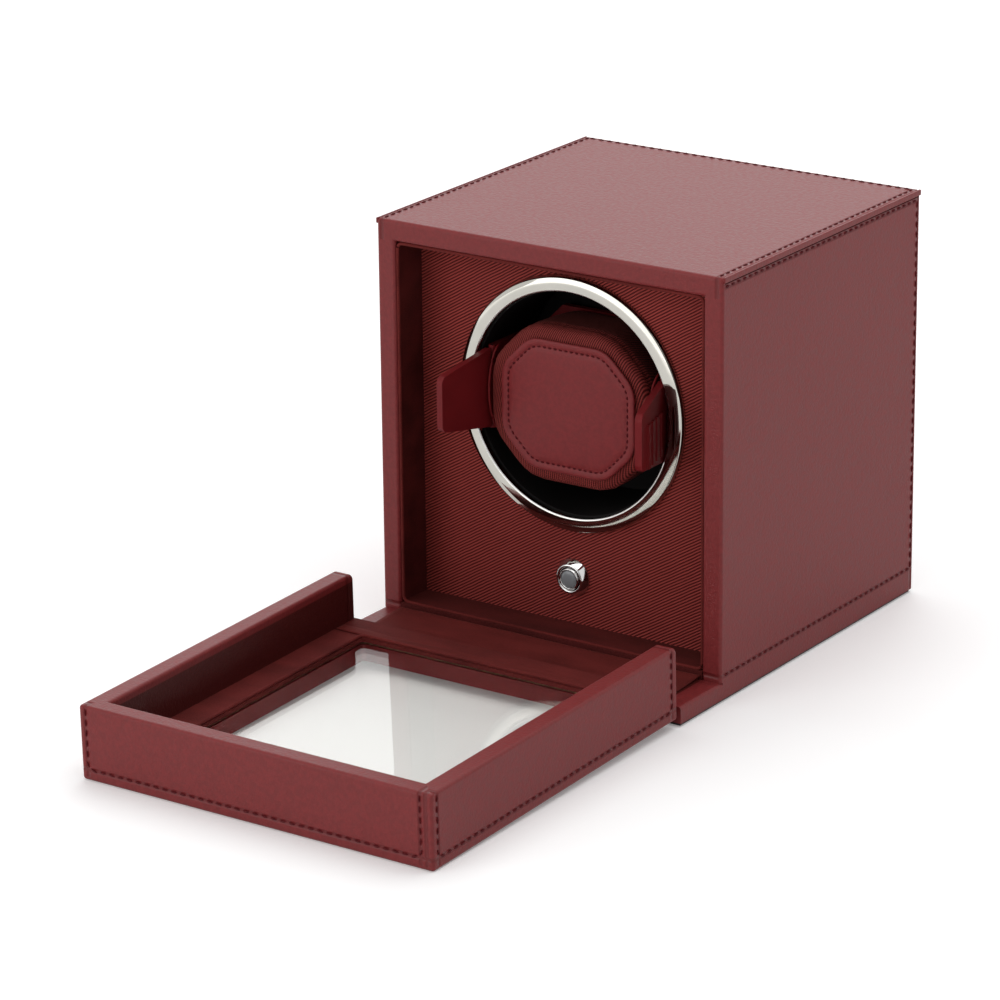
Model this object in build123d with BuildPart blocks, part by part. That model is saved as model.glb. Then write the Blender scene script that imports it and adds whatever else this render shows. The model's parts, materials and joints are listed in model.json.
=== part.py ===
from build123d import *
import os
from math import acos, asin, atan2, cos, hypot, pi, radians, sin, tan

os.makedirs("parts", exist_ok=True)

# Sizes of the case, in millimetres

CASE_WIDTH = 140.0
CASE_DEPTH = 132.0
CASE_HEIGHT = 150.0
LEATHER = 1.4
BOARD = 5.0
LINER = 1.0
BASE_PAD = 1.2
BASE_PAD_INSET = 1.0
BASE_BOARD = 4.6
EDGE_ROUND = 1.2
SEAM = 0.2
RECESS_DEPTH = 16.0
RECESS_FLOOR = 4.4
TWILL = 0.6
FASCIA = 4.0

# Sizes of the cover and its leather hinge

COVER_DEPTH = 26.3
COVER_GAP = 0.3
COVER_FOOT = 8.0
COVER_PANEL = 6.7
COVER_CORNER = 2.5
HINGE_LEATHER = 1.2
HINGE_HEIGHT = 5.5
HINGE_GRIP = 12.0
HINGE_CLEARANCE = 0.05
WINDOW_FRAME = 20.5
WINDOW_HINGE = 13.8
WINDOW_ROUND = 1.5
WINDOW_TURN_IN = 1.0
GLASS = 2.0
GLASS_REBATE = 3.0
GLASS_CLEARANCE = 0.2
PIPING = (1.4, 0.7)
PIPING_ROUND = 0.6
MAGNET = (12.0, 3.0, 2.5)
MAGNET_OFFSET = 35.0

# Sizes of the ring, the drum and its drive; depths run back from the front of the case

RING_GAP = 6.4
RING_RADIUS = 46.0
RING_FACE = 5.5
RING_RISE = 2.4
RING_BEVEL = 1.6
RING_INNER_BEVEL = 0.8
RING_OVERLAP = 2.8
RING_SLEEVE_WALL = 1.0
RING_FIT = 0.1
CUP_SETBACK = 0.5
CUP_WALL = 1.2
CUP_FRONT = 16.5
CUP_FLOOR = 50.0
CUP_FLOOR_WALL = 2.5
KEY_WIDTH = 2.0
KEY_RISE = 1.7
KEY_GAP = 4.6
KEY_FRONT = 24.0
CUP_RIB = (18.0, 2.0, 3.2)
CUP_RIB_RADIUS = 24.0
CUP_RIBS = 4
CUP_RIB_TURN = 45.0
HUB_RADIUS = 8.0
HUB_BACK = 61.8
BUSH_RADIUS = 4.0
AXLE_RADIUS = 2.5
AXLE_HEAD = (4.5, 1.0)
RUNNING_FIT = 0.05
END_PLAY = 0.2
MODULE = 1.0
PRESSURE_ANGLE = radians(20.0)
ADDENDUM = 0.8
DEDENDUM = 1.0
BACKLASH = 0.12
GEAR_TEETH = 72
PINION_TEETH = 16
GEAR_FRONT = 55.0
GEAR_WIDTH = 5.0
GEAR_HOLE = 6.0
GEAR_HOLE_RADIUS = 21.5
GEAR_HOLES = 6
PINION_FRONT = 54.5
PINION_WIDTH = 6.5
CENTRE_SLACK = 0.15
HOUSING_CLEARANCE = 3.8
HOUSING_WALL = 2.0
HOUSING_BACK = 66.0
HOUSING_BACK_WALL = 2.5
POCKET_BORE = 10.5
POCKET_FRONT = 50.0
BOSS_RADIUS = 6.0
LUGS = 4
LUG_STAND = 2.5
LUG_RADIUS = 4.2
SCREW = 1.25
SCREW_FIT = 0.05
SCREW_HEAD = (2.4, 1.4)
SCREW_SIDES = 12
SCREW_BITE = 3.0
MOTOR_FLANGE = 1.5
MOTOR_CASE = (12.0, 12.0)
MOTOR_CAN = (10.0, 12.0)
MOTOR_EAR = 3.2
MOTOR_EAR_ANGLE = radians(35.0)
MOTOR_EAR_RADIUS = 15.5
MOTOR_SCREW_BITE = 1.9
SHAFT_RADIUS = 1.5
SHAFT_STAND = 0.5
SHAFT_TAIL = 8.0

# Sizes of the push button and its circuit board

BEZEL_RADIUS = 6.8
BEZEL_TOP_RADIUS = 5.0
BEZEL_RISE = 3.0
BEZEL_SLEEVE = 6.0
BEZEL_FIT = 0.1
BEZEL_TAIL = 8.0
BEZEL_LIP = 2.8
LENS_RADIUS = 4.0
LENS_CLEARANCE = 0.1
LENS_PROUD = 0.5
LENS_DOME = 0.7
COLLAR = (4.7, 1.2)
COLLAR_CLEARANCE = 0.2
STEM_RADIUS = 1.8
STEM_BACK = 22.1
BUTTON_NUT = (8.0, 2.5)
NUT_SIDES = 6
CIRCUIT_BOARD = (50.0, 16.0, 1.6)
CIRCUIT_DROP = 5.0
CIRCUIT_FRONT = 28.0
SWITCH_BODY = (6.0, 3.5)
SWITCH_PLUNGER = (1.7, 1.3)
POST_RADIUS = 2.6
POST_OFFSET = 21.0

# Sizes of the cuff

PAD_HEIGHT = 55.0
PAD_CLEARANCE = 1.0
PAD_CORNER = 15.0
PAD_CORNER_ROUND = 6.0
PAD_FRONT = 12.0
PAD_BACK = 44.0
PAD_CROWN = (
    (PAD_BACK, 1.4),
    (38.0, 0.4),
    (27.0, 0.0),
    (18.0, 0.5),
    (14.4, 1.9),
    (12.5, 4.6),
    (PAD_FRONT, 7.6),
)
OCTAGON_SHRINK = 2 - 2 ** 0.5
CORE_INSET = 4.5
CORE_CORNER = 12.0
CORE_FRONT = 17.0
PATCH_INSET = (6.0, 4.75)
PATCH_CORNER = 11.5
PATCH_ROUND = 4.0
PATCH_THICK = 1.3
PATCH_EDGE = 0.6
YOKE_WALL = 2.5
YOKE_HEIGHT = 50.0
YOKE_CLEARANCE = 3.5
YOKE_CORNER = 14.0
ARM_FRONT = 22.0
ARM_HALF_HEIGHT = 15.0
NUB_HALF_HEIGHT = 2.0
NUB_CLEARANCE = 0.3
NUB_DEPTH = (34.0, 46.0)
PIN_RADIUS = 0.6
PIN_DEPTH = 19.0
EAR_HALF_GAP = 10.0
EAR_CLEARANCE = 0.2
WING_WALL = 2.5
WING_ROOT = 2.3
WING_LENGTH = 28.6
WING_ROOT_HALF = 14.2
WING_TIP_HALF = 9.8
WING_TIP_ROUND = 3.0
LEFT_FLARE = radians(5.3)
RIGHT_FLARE = radians(14.8)
GRIP_RIB = (2.2, 15.5, 0.8)
GRIP_RIB_MIDDLE = -2.75
GRIP_RIB_FIRST = 8.0
GRIP_RIB_PITCH = 4.6
GRIP_RIBS = 4

# Sizes of the rear cover and the power socket

REAR_OPENING = (88.0, 96.0)
REAR_COVER = (104.0, 112.0)
REAR_ROUND = 4.0
REAR_CLEARANCE = 0.3
REAR_SCREW_INSET = 4.0
REAR_SCREW_HEAD = (2.4, 1.15)
REAR_SCREW_LENGTH = 4.5
SOCKET_PLACE = (34.0, 17.3)
SOCKET_FLANGE = (5.6, 1.0)
SOCKET_RADIUS = 4.0
SOCKET_FIT = 0.1
SOCKET_BORE = (2.8, 10.0)
SOCKET_LENGTH = 12.0
SOCKET_PIN = (0.75, 8.0)

# Places worked out from the sizes

FRONT = -CASE_DEPTH / 2
BACK = CASE_DEPTH / 2
SIDE = CASE_WIDTH / 2
BOARD_OUT = SIDE - LEATHER
BOARD_IN = BOARD_OUT - BOARD
OPENING = BOARD_IN - LINER
RIM = SIDE - OPENING
BASE_TOP = BASE_PAD + BASE_BOARD
LEDGE_TOP = BASE_TOP + LEATHER
LID_TOP = CASE_HEIGHT - LEATHER
LID_UNDER = LID_TOP - BOARD
OPENING_TOP = LID_UNDER - LINER
BOARD_FRONT = FRONT + LEATHER
BOARD_BACK = BACK - LEATHER
RECESS_BACK = FRONT + RECESS_DEPTH
PANEL_DEPTH = RECESS_DEPTH + TWILL
PANEL_BACK_DEPTH = PANEL_DEPTH + FASCIA
HINGE_INSET = LEATHER + HINGE_LEATHER / 2
PIVOT_Y = FRONT - COVER_GAP - COVER_DEPTH + HINGE_INSET
LEDGE_BOARD_FRONT = PIVOT_Y + HINGE_LEATHER / 2
LEDGE_FRONT = PIVOT_Y - HINGE_LEATHER / 2
HINGE_HALF = OPENING - SEAM
HINGE_REACH = COVER_FOOT - HINGE_HEIGHT
COVER_LENGTH = CASE_HEIGHT - COVER_FOOT
PANEL_TOP = LEATHER + COVER_PANEL
COVER_FLOOR = PANEL_TOP + LEATHER
RIM_TOP = COVER_DEPTH - LEATHER
TRAY_END = COVER_LENGTH - RIM
WINDOW_HALF = SIDE - WINDOW_FRAME
WINDOW_END = COVER_LENGTH - WINDOW_FRAME
GLASS_UNDER = PANEL_TOP - GLASS
AXIS_HEIGHT = OPENING_TOP - RING_GAP - RING_RADIUS
RING_BORE = RING_RADIUS - RING_FACE
RING_SLEEVE = RING_RADIUS - RING_OVERLAP
CUP_BORE = RING_BORE - CUP_SETBACK
KEY_INNER = CUP_BORE - KEY_RISE
HOUSING_BORE = CUP_BORE + CUP_WALL + HOUSING_CLEARANCE
LUG_REACH = HOUSING_BORE + HOUSING_WALL + LUG_STAND
GEAR_PITCH = GEAR_TEETH * MODULE / 2
PINION_PITCH = PINION_TEETH * MODULE / 2
MOTOR_HEIGHT = AXIS_HEIGHT - GEAR_PITCH - PINION_PITCH - CENTRE_SLACK
BUTTON_HEIGHT = (BASE_TOP + RECESS_FLOOR + AXIS_HEIGHT - RING_RADIUS) / 2
CIRCUIT_HEIGHT = BUTTON_HEIGHT - CIRCUIT_DROP
YOKE_PLATE = (2 * (CUP_BORE - YOKE_CLEARANCE), YOKE_HEIGHT)
PIN_X = YOKE_PLATE[0] / 2 - WING_WALL / 2
PAD = (YOKE_PLATE[0] - 2 * (WING_WALL + PAD_CLEARANCE), PAD_HEIGHT)
CORE = (PAD[0] - 2 * CORE_INSET, PAD[1] - 2 * CORE_INSET)
PATCH = (PAD[0] - 2 * PATCH_INSET[0], PAD[1] - 2 * PATCH_INSET[1])
REAR_MIDDLE = (BASE_TOP + LID_UNDER) / 2
SOCKET_HEIGHT = REAR_MIDDLE - REAR_COVER[1] / 2 + SOCKET_PLACE[1]

# The open cover rests with its far lower edge on the table, so it slopes down from the hinge
far_reach = HINGE_REACH + COVER_LENGTH - EDGE_ROUND
far_drop = HINGE_INSET - EDGE_ROUND
slope = asin((HINGE_HEIGHT - EDGE_ROUND) / hypot(far_reach, far_drop)) - atan2(far_drop, far_reach)
cover_plane = Plane(
    origin=(0, PIVOT_Y, HINGE_HEIGHT),
    x_dir=(-1, 0, 0),
    z_dir=(0, -sin(slope), cos(slope)),
)


def cover_at(height):
    """The plane of the cover at a height above its outer face; y is the distance from its hinge end."""
    flat = cover_plane.offset(height - HINGE_INSET)
    return flat.shift_origin(flat.from_local_coords((0, HINGE_REACH, 0)))


def facing(depth, height=0.0):
    """An upright plane towards the viewer, at a depth behind the front of the case."""
    return Plane(origin=(0, FRONT + depth, height), x_dir=(1, 0, 0), z_dir=(0, -1, 0))


def turning(height, across=0.0):
    """A plane whose x is a radius and whose y is the depth behind the front of the case."""
    return Plane(origin=(across, FRONT, height), x_dir=(1, 0, 0), z_dir=(0, 0, 1))


def write(piece, label):
    piece.part.label = label
    export_step(piece.part, f"parts/{label}.step")


def block(x, y, z):
    """A board between the two values of each pair."""
    with BuildPart() as piece:
        with BuildSketch(Plane.XY.offset(z[0])):
            with Locations(((x[0] + x[1]) / 2, (y[0] + y[1]) / 2)):
                Rectangle(x[1] - x[0], y[1] - y[0])
        extrude(amount=z[1] - z[0])
    return piece


def turned(plane, points):
    """A piece of revolution from its (radius, depth) points."""
    with BuildPart() as piece:
        with BuildSketch(plane):
            with BuildLine():
                Polyline(*points, close=True)
            make_face()
        revolve(axis=Axis(plane.origin, plane.y_dir))
    return piece


def mirrored(piece):
    """The same piece on the other side of the case."""
    with BuildPart() as twin:
        mirror(piece.part, about=Plane.YZ)
    return twin


def paired(piece):
    """The piece together with its twin on the other side of the case."""
    with BuildPart() as pair:
        add(piece.part)
        mirror(piece.part, about=Plane.YZ)
    return pair


def rectangle(plane, x, y, rounding=0.0):
    """A rectangle between the two values of each pair."""
    with BuildSketch(plane) as outline:
        with Locations(((x[0] + x[1]) / 2, (y[0] + y[1]) / 2)):
            Rectangle(x[1] - x[0], y[1] - y[0])
        if rounding:
            fillet(outline.vertices(), rounding)
    return outline.sketch


def octagon(plane, size, corner, rounding=0.0):
    """A rectangle with its corners cut off."""
    with BuildSketch(plane) as outline:
        Rectangle(*size)
        chamfer(outline.vertices(), corner)
        if rounding:
            fillet(outline.vertices(), rounding)
    return outline.sketch


# Case: base, boards and magnets

base_pad = block(
    (-SIDE + BASE_PAD_INSET, SIDE - BASE_PAD_INSET),
    (LEDGE_BOARD_FRONT, BACK - BASE_PAD_INSET),
    (0, BASE_PAD),
)
base_board = block((-BOARD_OUT, BOARD_OUT), (LEDGE_BOARD_FRONT, BOARD_BACK), (BASE_PAD, BASE_TOP))
right_board = block((BOARD_IN, BOARD_OUT), (BOARD_FRONT, BOARD_BACK), (BASE_TOP, LID_UNDER))
left_board = mirrored(right_board)

with BuildPart() as case_magnets:
    with BuildSketch(facing(LEATHER, LID_UNDER + BOARD / 2)):
        with Locations((-MAGNET_OFFSET, 0), (MAGNET_OFFSET, 0)):
            Rectangle(MAGNET[0], MAGNET[1])
    extrude(amount=-MAGNET[2])

with BuildPart() as top_board:
    with BuildSketch(Plane.XY.offset(LID_UNDER)):
        Rectangle(2 * BOARD_OUT, BOARD_BACK - BOARD_FRONT)
    extrude(amount=BOARD)
    add(case_magnets.part, mode=Mode.SUBTRACT)

with BuildPart() as back_board:
    extrude(rectangle(facing(CASE_DEPTH - LEATHER), (-BOARD_IN, BOARD_IN), (BASE_TOP, LID_UNDER)), BOARD)
    with BuildSketch(facing(CASE_DEPTH - LEATHER, REAR_MIDDLE)):
        RectangleRounded(*REAR_OPENING, REAR_ROUND)
        with GridLocations(REAR_COVER[0] - 2 * REAR_SCREW_INSET, REAR_COVER[1] - 2 * REAR_SCREW_INSET, 2, 2):
            Circle(SCREW + SCREW_FIT)
    extrude(amount=BOARD, mode=Mode.SUBTRACT)

# Case: the leather that covers it, trimmed to the rounded outside of the case

with BuildPart() as case_shape:
    with BuildSketch(Plane.XY.offset(BASE_PAD)):
        Rectangle(CASE_WIDTH, CASE_DEPTH)
    extrude(amount=CASE_HEIGHT - BASE_PAD)
    extrude(
        rectangle(facing(0), (-OPENING, OPENING), (LEDGE_TOP, OPENING_TOP)),
        -RECESS_DEPTH,
        mode=Mode.SUBTRACT,
    )
    rounded = case_shape.edges().filter_by_position(Axis.Y, FRONT, FRONT)
    rounded += case_shape.edges().filter_by_position(Axis.Y, BACK, BACK)
    rounded += case_shape.edges().filter_by(Axis.Y).filter_by_position(Axis.Z, CASE_HEIGHT, CASE_HEIGHT)
    fillet(rounded.filter_by(lambda edge: edge.center().Z > LEDGE_TOP), EDGE_ROUND)

with BuildPart() as top_leather:
    with BuildSketch(Plane.XY.offset(LID_TOP)):
        Rectangle(CASE_WIDTH, CASE_DEPTH)
    extrude(amount=LEATHER)
    extrude(rectangle(facing(0), (-SIDE, SIDE), (OPENING_TOP, LID_TOP)), -LEATHER)
    add(case_shape.part, mode=Mode.INTERSECT)

with BuildPart() as right_leather:
    extrude(rectangle(Plane.XY.offset(BASE_PAD), (BOARD_OUT, SIDE), (BOARD_FRONT, BACK)), LID_TOP - BASE_PAD)
    extrude(rectangle(facing(0), (OPENING, SIDE), (LEDGE_TOP, OPENING_TOP)), -LEATHER)
    add(case_shape.part, mode=Mode.INTERSECT)
left_leather = mirrored(right_leather)

with BuildPart() as back_leather:
    extrude(rectangle(facing(CASE_DEPTH), (-BOARD_OUT, BOARD_OUT), (BASE_PAD, LID_TOP)), LEATHER)
    with BuildSketch(facing(CASE_DEPTH, REAR_MIDDLE)):
        RectangleRounded(
            REAR_COVER[0] + 2 * REAR_CLEARANCE,
            REAR_COVER[1] + 2 * REAR_CLEARANCE,
            REAR_ROUND + REAR_CLEARANCE,
        )
    extrude(amount=LEATHER, mode=Mode.SUBTRACT)

with BuildPart() as ledge_side:
    ledge_y = (LEDGE_FRONT, BOARD_FRONT)
    extrude(rectangle(Plane.XY.offset(BASE_PAD), (OPENING, SIDE), ledge_y), LEDGE_TOP - BASE_PAD)
    outer_edges = ledge_side.edges().filter_by(Axis.Y).filter_by_position(Axis.X, SIDE, SIDE)
    fillet(outer_edges.sort_by(Axis.Z)[-1], EDGE_ROUND)
    extrude(
        rectangle(Plane.XY.offset(BASE_PAD), (OPENING, BOARD_OUT), (LEDGE_BOARD_FRONT, BOARD_FRONT)),
        BASE_BOARD,
        mode=Mode.SUBTRACT,
    )
ledge_leather = paired(ledge_side)

ledge_lining = block((-OPENING, OPENING), (LEDGE_BOARD_FRONT + SEAM, FRONT), (BASE_TOP, LEDGE_TOP))

# Case: the recess in its front

recess_floor = block((-OPENING, OPENING), (FRONT, RECESS_BACK), (BASE_TOP, BASE_TOP + RECESS_FLOOR))
recess_side_liners = paired(block((OPENING, BOARD_IN), (BOARD_FRONT, RECESS_BACK), (BASE_TOP, OPENING_TOP)))
recess_top_liner = block((-BOARD_IN, BOARD_IN), (BOARD_FRONT, RECESS_BACK), (OPENING_TOP, LID_UNDER))


def fascia(depth, thickness):
    """A sheet behind the recess with the holes for the ring and the button."""
    with BuildPart() as sheet:
        extrude(rectangle(facing(depth), (-BOARD_IN, BOARD_IN), (BASE_TOP, LID_UNDER)), -thickness)
        with BuildSketch(facing(depth)):
            with Locations((0, AXIS_HEIGHT)):
                Circle(RING_SLEEVE + RING_FIT)
            with Locations((0, BUTTON_HEIGHT)):
                Circle(BEZEL_SLEEVE + BEZEL_FIT)
        extrude(amount=-thickness, mode=Mode.SUBTRACT)
    return sheet


lug_turns = [(2 * lug + 1) * pi / LUGS for lug in range(LUGS)]
lug_places = [(LUG_REACH * cos(turn), LUG_REACH * sin(turn)) for turn in lug_turns]
fascia_fabric = fascia(RECESS_DEPTH, TWILL)
with BuildPart() as fascia_panel:
    add(fascia(PANEL_DEPTH, FASCIA).part)
    with BuildSketch(facing(PANEL_BACK_DEPTH, AXIS_HEIGHT)):
        with Locations(*lug_places):
            Circle(SCREW + SCREW_FIT)
    extrude(amount=SCREW_BITE, mode=Mode.SUBTRACT)

sleeve_bore = RING_SLEEVE - RING_SLEEVE_WALL
ring_front = RECESS_DEPTH - RING_RISE
ring_bezel = turned(
    turning(AXIS_HEIGHT),
    (
        (RING_BORE, ring_front + RING_INNER_BEVEL),
        (RING_BORE + RING_INNER_BEVEL, ring_front),
        (RING_RADIUS - RING_BEVEL, ring_front),
        (RING_RADIUS, ring_front + RING_BEVEL),
        (RING_RADIUS, RECESS_DEPTH),
        (RING_SLEEVE, RECESS_DEPTH),
        (RING_SLEEVE, PANEL_BACK_DEPTH),
        (sleeve_bore, PANEL_BACK_DEPTH),
        (sleeve_bore, RECESS_DEPTH),
        (RING_BORE, RECESS_DEPTH),
    ),
)

# Drive: housing, axle and motor behind the fascia

with BuildPart() as drum_housing:
    with BuildSketch(facing(PANEL_BACK_DEPTH, AXIS_HEIGHT)):
        Circle(HOUSING_BORE + HOUSING_WALL)
    extrude(amount=PANEL_BACK_DEPTH - HOUSING_BACK)
    with BuildSketch(facing(PANEL_BACK_DEPTH, AXIS_HEIGHT)):
        with Locations(*lug_places):
            Circle(LUG_RADIUS)
    extrude(amount=-HOUSING_WALL)
    with BuildSketch(facing(POCKET_FRONT - HOUSING_WALL, MOTOR_HEIGHT)):
        Circle(POCKET_BORE + HOUSING_WALL)
    extrude(amount=POCKET_FRONT - HOUSING_WALL - HOUSING_BACK)
    with BuildSketch(facing(PANEL_BACK_DEPTH, AXIS_HEIGHT)):
        Circle(HOUSING_BORE)
    extrude(amount=PANEL_BACK_DEPTH - HOUSING_BACK + HOUSING_BACK_WALL, mode=Mode.SUBTRACT)
    with BuildSketch(facing(POCKET_FRONT, MOTOR_HEIGHT)):
        Circle(POCKET_BORE)
    extrude(amount=POCKET_FRONT - HOUSING_BACK + HOUSING_BACK_WALL, mode=Mode.SUBTRACT)
    with BuildSketch(facing(HUB_BACK + END_PLAY, AXIS_HEIGHT)):
        Circle(BOSS_RADIUS)
    extrude(amount=HUB_BACK + END_PLAY - HOUSING_BACK)
    with BuildSketch(facing(HUB_BACK, AXIS_HEIGHT)):
        Circle(AXLE_RADIUS)
    extrude(amount=HUB_BACK - HOUSING_BACK, mode=Mode.SUBTRACT)
    with BuildSketch(facing(PANEL_BACK_DEPTH, AXIS_HEIGHT)):
        with Locations(*lug_places):
            Circle(SCREW + SCREW_FIT)
    extrude(amount=-HOUSING_WALL, mode=Mode.SUBTRACT)
    ear_places = [
        (side * MOTOR_EAR_RADIUS * cos(MOTOR_EAR_ANGLE), MOTOR_EAR_RADIUS * sin(MOTOR_EAR_ANGLE))
        for side in (-1, 1)
    ]
    with BuildSketch(facing(HOUSING_BACK, MOTOR_HEIGHT)):
        Circle(SHAFT_RADIUS + RUNNING_FIT)
        with Locations(*ear_places):
            Circle(SCREW + SCREW_FIT)
    extrude(amount=HOUSING_BACK_WALL, mode=Mode.SUBTRACT)


def pan_screws(head_depth, height, places, shank):
    """Pan head screws in from the back, their heads on a face at one depth; drawn with few flat sides."""
    with BuildPart() as screws:
        with BuildSketch(facing(head_depth + SCREW_HEAD[1], height)):
            with Locations(*places):
                RegularPolygon(SCREW_HEAD[0], SCREW_SIDES)
        extrude(amount=SCREW_HEAD[1])
        chamfer(screws.faces().sort_by(Axis.Y)[-len(places):].edges(), SCREW_HEAD[1] / 2)
        with BuildSketch(facing(head_depth, height)):
            with Locations(*places):
                RegularPolygon(SCREW, SCREW_SIDES)
        extrude(amount=shank)
    return screws


housing_screws = pan_screws(
    PANEL_BACK_DEPTH + HOUSING_WALL,
    AXIS_HEIGHT,
    lug_places,
    HOUSING_WALL + SCREW_BITE - END_PLAY,
)
motor_screws = pan_screws(
    HOUSING_BACK + MOTOR_FLANGE, MOTOR_HEIGHT, ear_places, MOTOR_FLANGE + MOTOR_SCREW_BITE
)

head_front = CUP_FLOOR - END_PLAY - AXLE_HEAD[1]
drum_axle = turned(
    turning(AXIS_HEIGHT),
    (
        (0, head_front),
        (AXLE_HEAD[0], head_front),
        (AXLE_HEAD[0], CUP_FLOOR - END_PLAY),
        (AXLE_RADIUS, CUP_FLOOR - END_PLAY),
        (AXLE_RADIUS, HOUSING_BACK),
        (0, HOUSING_BACK),
    ),
)

with BuildPart() as gear_motor:
    with BuildSketch(facing(HOUSING_BACK, MOTOR_HEIGHT)):
        with Locations(*ear_places):
            Circle(MOTOR_EAR)
        Rectangle(2 * MOTOR_EAR_RADIUS * cos(MOTOR_EAR_ANGLE), 2 * MOTOR_EAR_RADIUS * sin(MOTOR_EAR_ANGLE))
        with Locations(*ear_places):
            Circle(SCREW + SCREW_FIT, mode=Mode.SUBTRACT)
    extrude(amount=-MOTOR_FLANGE)
    with BuildSketch(facing(HOUSING_BACK, MOTOR_HEIGHT)):
        Circle(MOTOR_CASE[0])
    extrude(amount=-MOTOR_CASE[1])
    with BuildSketch(facing(HOUSING_BACK + MOTOR_CASE[1], MOTOR_HEIGHT)):
        Circle(MOTOR_CAN[0])
    extrude(amount=-MOTOR_CAN[1])
    chamfer(gear_motor.faces().sort_by(Axis.Y)[-1].edges(), MOTOR_FLANGE / 2)
    with BuildSketch(facing(HOUSING_BACK, MOTOR_HEIGHT)):
        Circle(SHAFT_RADIUS + RUNNING_FIT)
    extrude(amount=-SHAFT_TAIL - END_PLAY, mode=Mode.SUBTRACT)

with BuildPart() as motor_shaft:
    with BuildSketch(facing(PINION_FRONT - SHAFT_STAND, MOTOR_HEIGHT)):
        Circle(SHAFT_RADIUS)
    extrude(amount=PINION_FRONT - SHAFT_STAND - HOUSING_BACK - SHAFT_TAIL)


def involute(angle):
    return tan(angle) - angle


def gear(depth, height, width, teeth, pitch, first_turn, bore):
    """A spur gear whose teeth have involute flanks."""
    base = pitch * cos(PRESSURE_ANGLE)
    root = pitch - DEDENDUM
    tip = pitch + ADDENDUM
    foot = max(root, base)
    half_pitch = pi / (2 * teeth) - BACKLASH / (2 * pitch)

    def flank(radius, middle, side):
        lean = half_pitch + involute(PRESSURE_ANGLE) - involute(acos(base / radius))
        return (radius * cos(middle + side * lean), radius * sin(middle + side * lean))

    with BuildPart() as wheel:
        with BuildSketch(facing(depth, height)):
            with BuildLine():
                outline = []
                for tooth in range(teeth):
                    middle = first_turn + tooth * 2 * pi / teeth
                    rise = [flank(radius, middle, -1) for radius in (foot, (foot + tip) / 2, tip)]
                    fall = [flank(radius, middle, 1) for radius in (tip, (foot + tip) / 2, foot)]
                    shrink = root / foot
                    if foot > root:
                        rise.insert(0, (rise[0][0] * shrink, rise[0][1] * shrink))
                        fall.append((fall[-1][0] * shrink, fall[-1][1] * shrink))
                    outline += rise + fall
                Polyline(*outline, close=True)
            make_face()
            Circle(bore, mode=Mode.SUBTRACT)
        extrude(amount=-width)
    return wheel


motor_pinion = gear(
    PINION_FRONT, MOTOR_HEIGHT, PINION_WIDTH, PINION_TEETH, PINION_PITCH, pi / PINION_TEETH, SHAFT_RADIUS
)

# Drum: the cup that turns, its gear and bush

with BuildPart() as drum_gear:
    add(gear(GEAR_FRONT, AXIS_HEIGHT, GEAR_WIDTH, GEAR_TEETH, GEAR_PITCH, 0, HUB_RADIUS).part)
    with BuildSketch(facing(GEAR_FRONT, AXIS_HEIGHT)):
        with PolarLocations(GEAR_HOLE_RADIUS, GEAR_HOLES):
            Circle(GEAR_HOLE)
    extrude(amount=-GEAR_WIDTH, mode=Mode.SUBTRACT)

with BuildPart() as drum_cup:
    with BuildSketch(facing(CUP_FRONT, AXIS_HEIGHT)):
        Circle(CUP_BORE + CUP_WALL)
        Circle(CUP_BORE, mode=Mode.SUBTRACT)
    extrude(amount=CUP_FRONT - CUP_FLOOR)
    with BuildSketch(facing(KEY_FRONT, AXIS_HEIGHT)):
        with Locations(*[
            (side * (KEY_INNER + CUP_BORE) / 2, level * (KEY_GAP + KEY_WIDTH) / 2)
            for side in (-1, 1)
            for level in (-1, 1)
        ]):
            Rectangle(CUP_BORE - KEY_INNER + CUP_WALL, KEY_WIDTH)
    extrude(amount=KEY_FRONT - CUP_FLOOR)
    with BuildSketch(facing(CUP_FLOOR - CUP_RIB[2], AXIS_HEIGHT)):
        with PolarLocations(CUP_RIB_RADIUS, CUP_RIBS, start_angle=CUP_RIB_TURN):
            Rectangle(CUP_RIB[0], CUP_RIB[1])
    extrude(amount=-CUP_RIB[2])
    with BuildSketch(facing(CUP_FLOOR, AXIS_HEIGHT)):
        Circle(CUP_BORE + CUP_WALL)
    extrude(amount=-CUP_FLOOR_WALL)
    with BuildSketch(facing(CUP_FLOOR, AXIS_HEIGHT)):
        Circle(HUB_RADIUS)
    extrude(amount=CUP_FLOOR - HUB_BACK)
    with BuildSketch(facing(CUP_FLOOR, AXIS_HEIGHT)):
        Circle(BUSH_RADIUS)
    extrude(amount=CUP_FLOOR - HUB_BACK, mode=Mode.SUBTRACT)

with BuildPart() as drum_bush:
    with BuildSketch(facing(CUP_FLOOR, AXIS_HEIGHT)):
        Circle(BUSH_RADIUS)
        Circle(AXLE_RADIUS + RUNNING_FIT, mode=Mode.SUBTRACT)
    extrude(amount=CUP_FLOOR - HUB_BACK)

# Push button, circuit board and switch

bezel_front = RECESS_DEPTH - BEZEL_RISE
bezel_lip_back = bezel_front + BEZEL_LIP
bezel_bore = COLLAR[0] + COLLAR_CLEARANCE
button_bezel = turned(
    turning(BUTTON_HEIGHT),
    (
        (LENS_RADIUS + LENS_CLEARANCE, bezel_front),
        (BEZEL_TOP_RADIUS, bezel_front),
        (BEZEL_RADIUS, RECESS_DEPTH),
        (BEZEL_SLEEVE, RECESS_DEPTH),
        (BEZEL_SLEEVE, RECESS_DEPTH + BEZEL_TAIL),
        (bezel_bore, RECESS_DEPTH + BEZEL_TAIL),
        (bezel_bore, bezel_lip_back),
        (LENS_RADIUS + LENS_CLEARANCE, bezel_lip_back),
    ),
)

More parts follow.
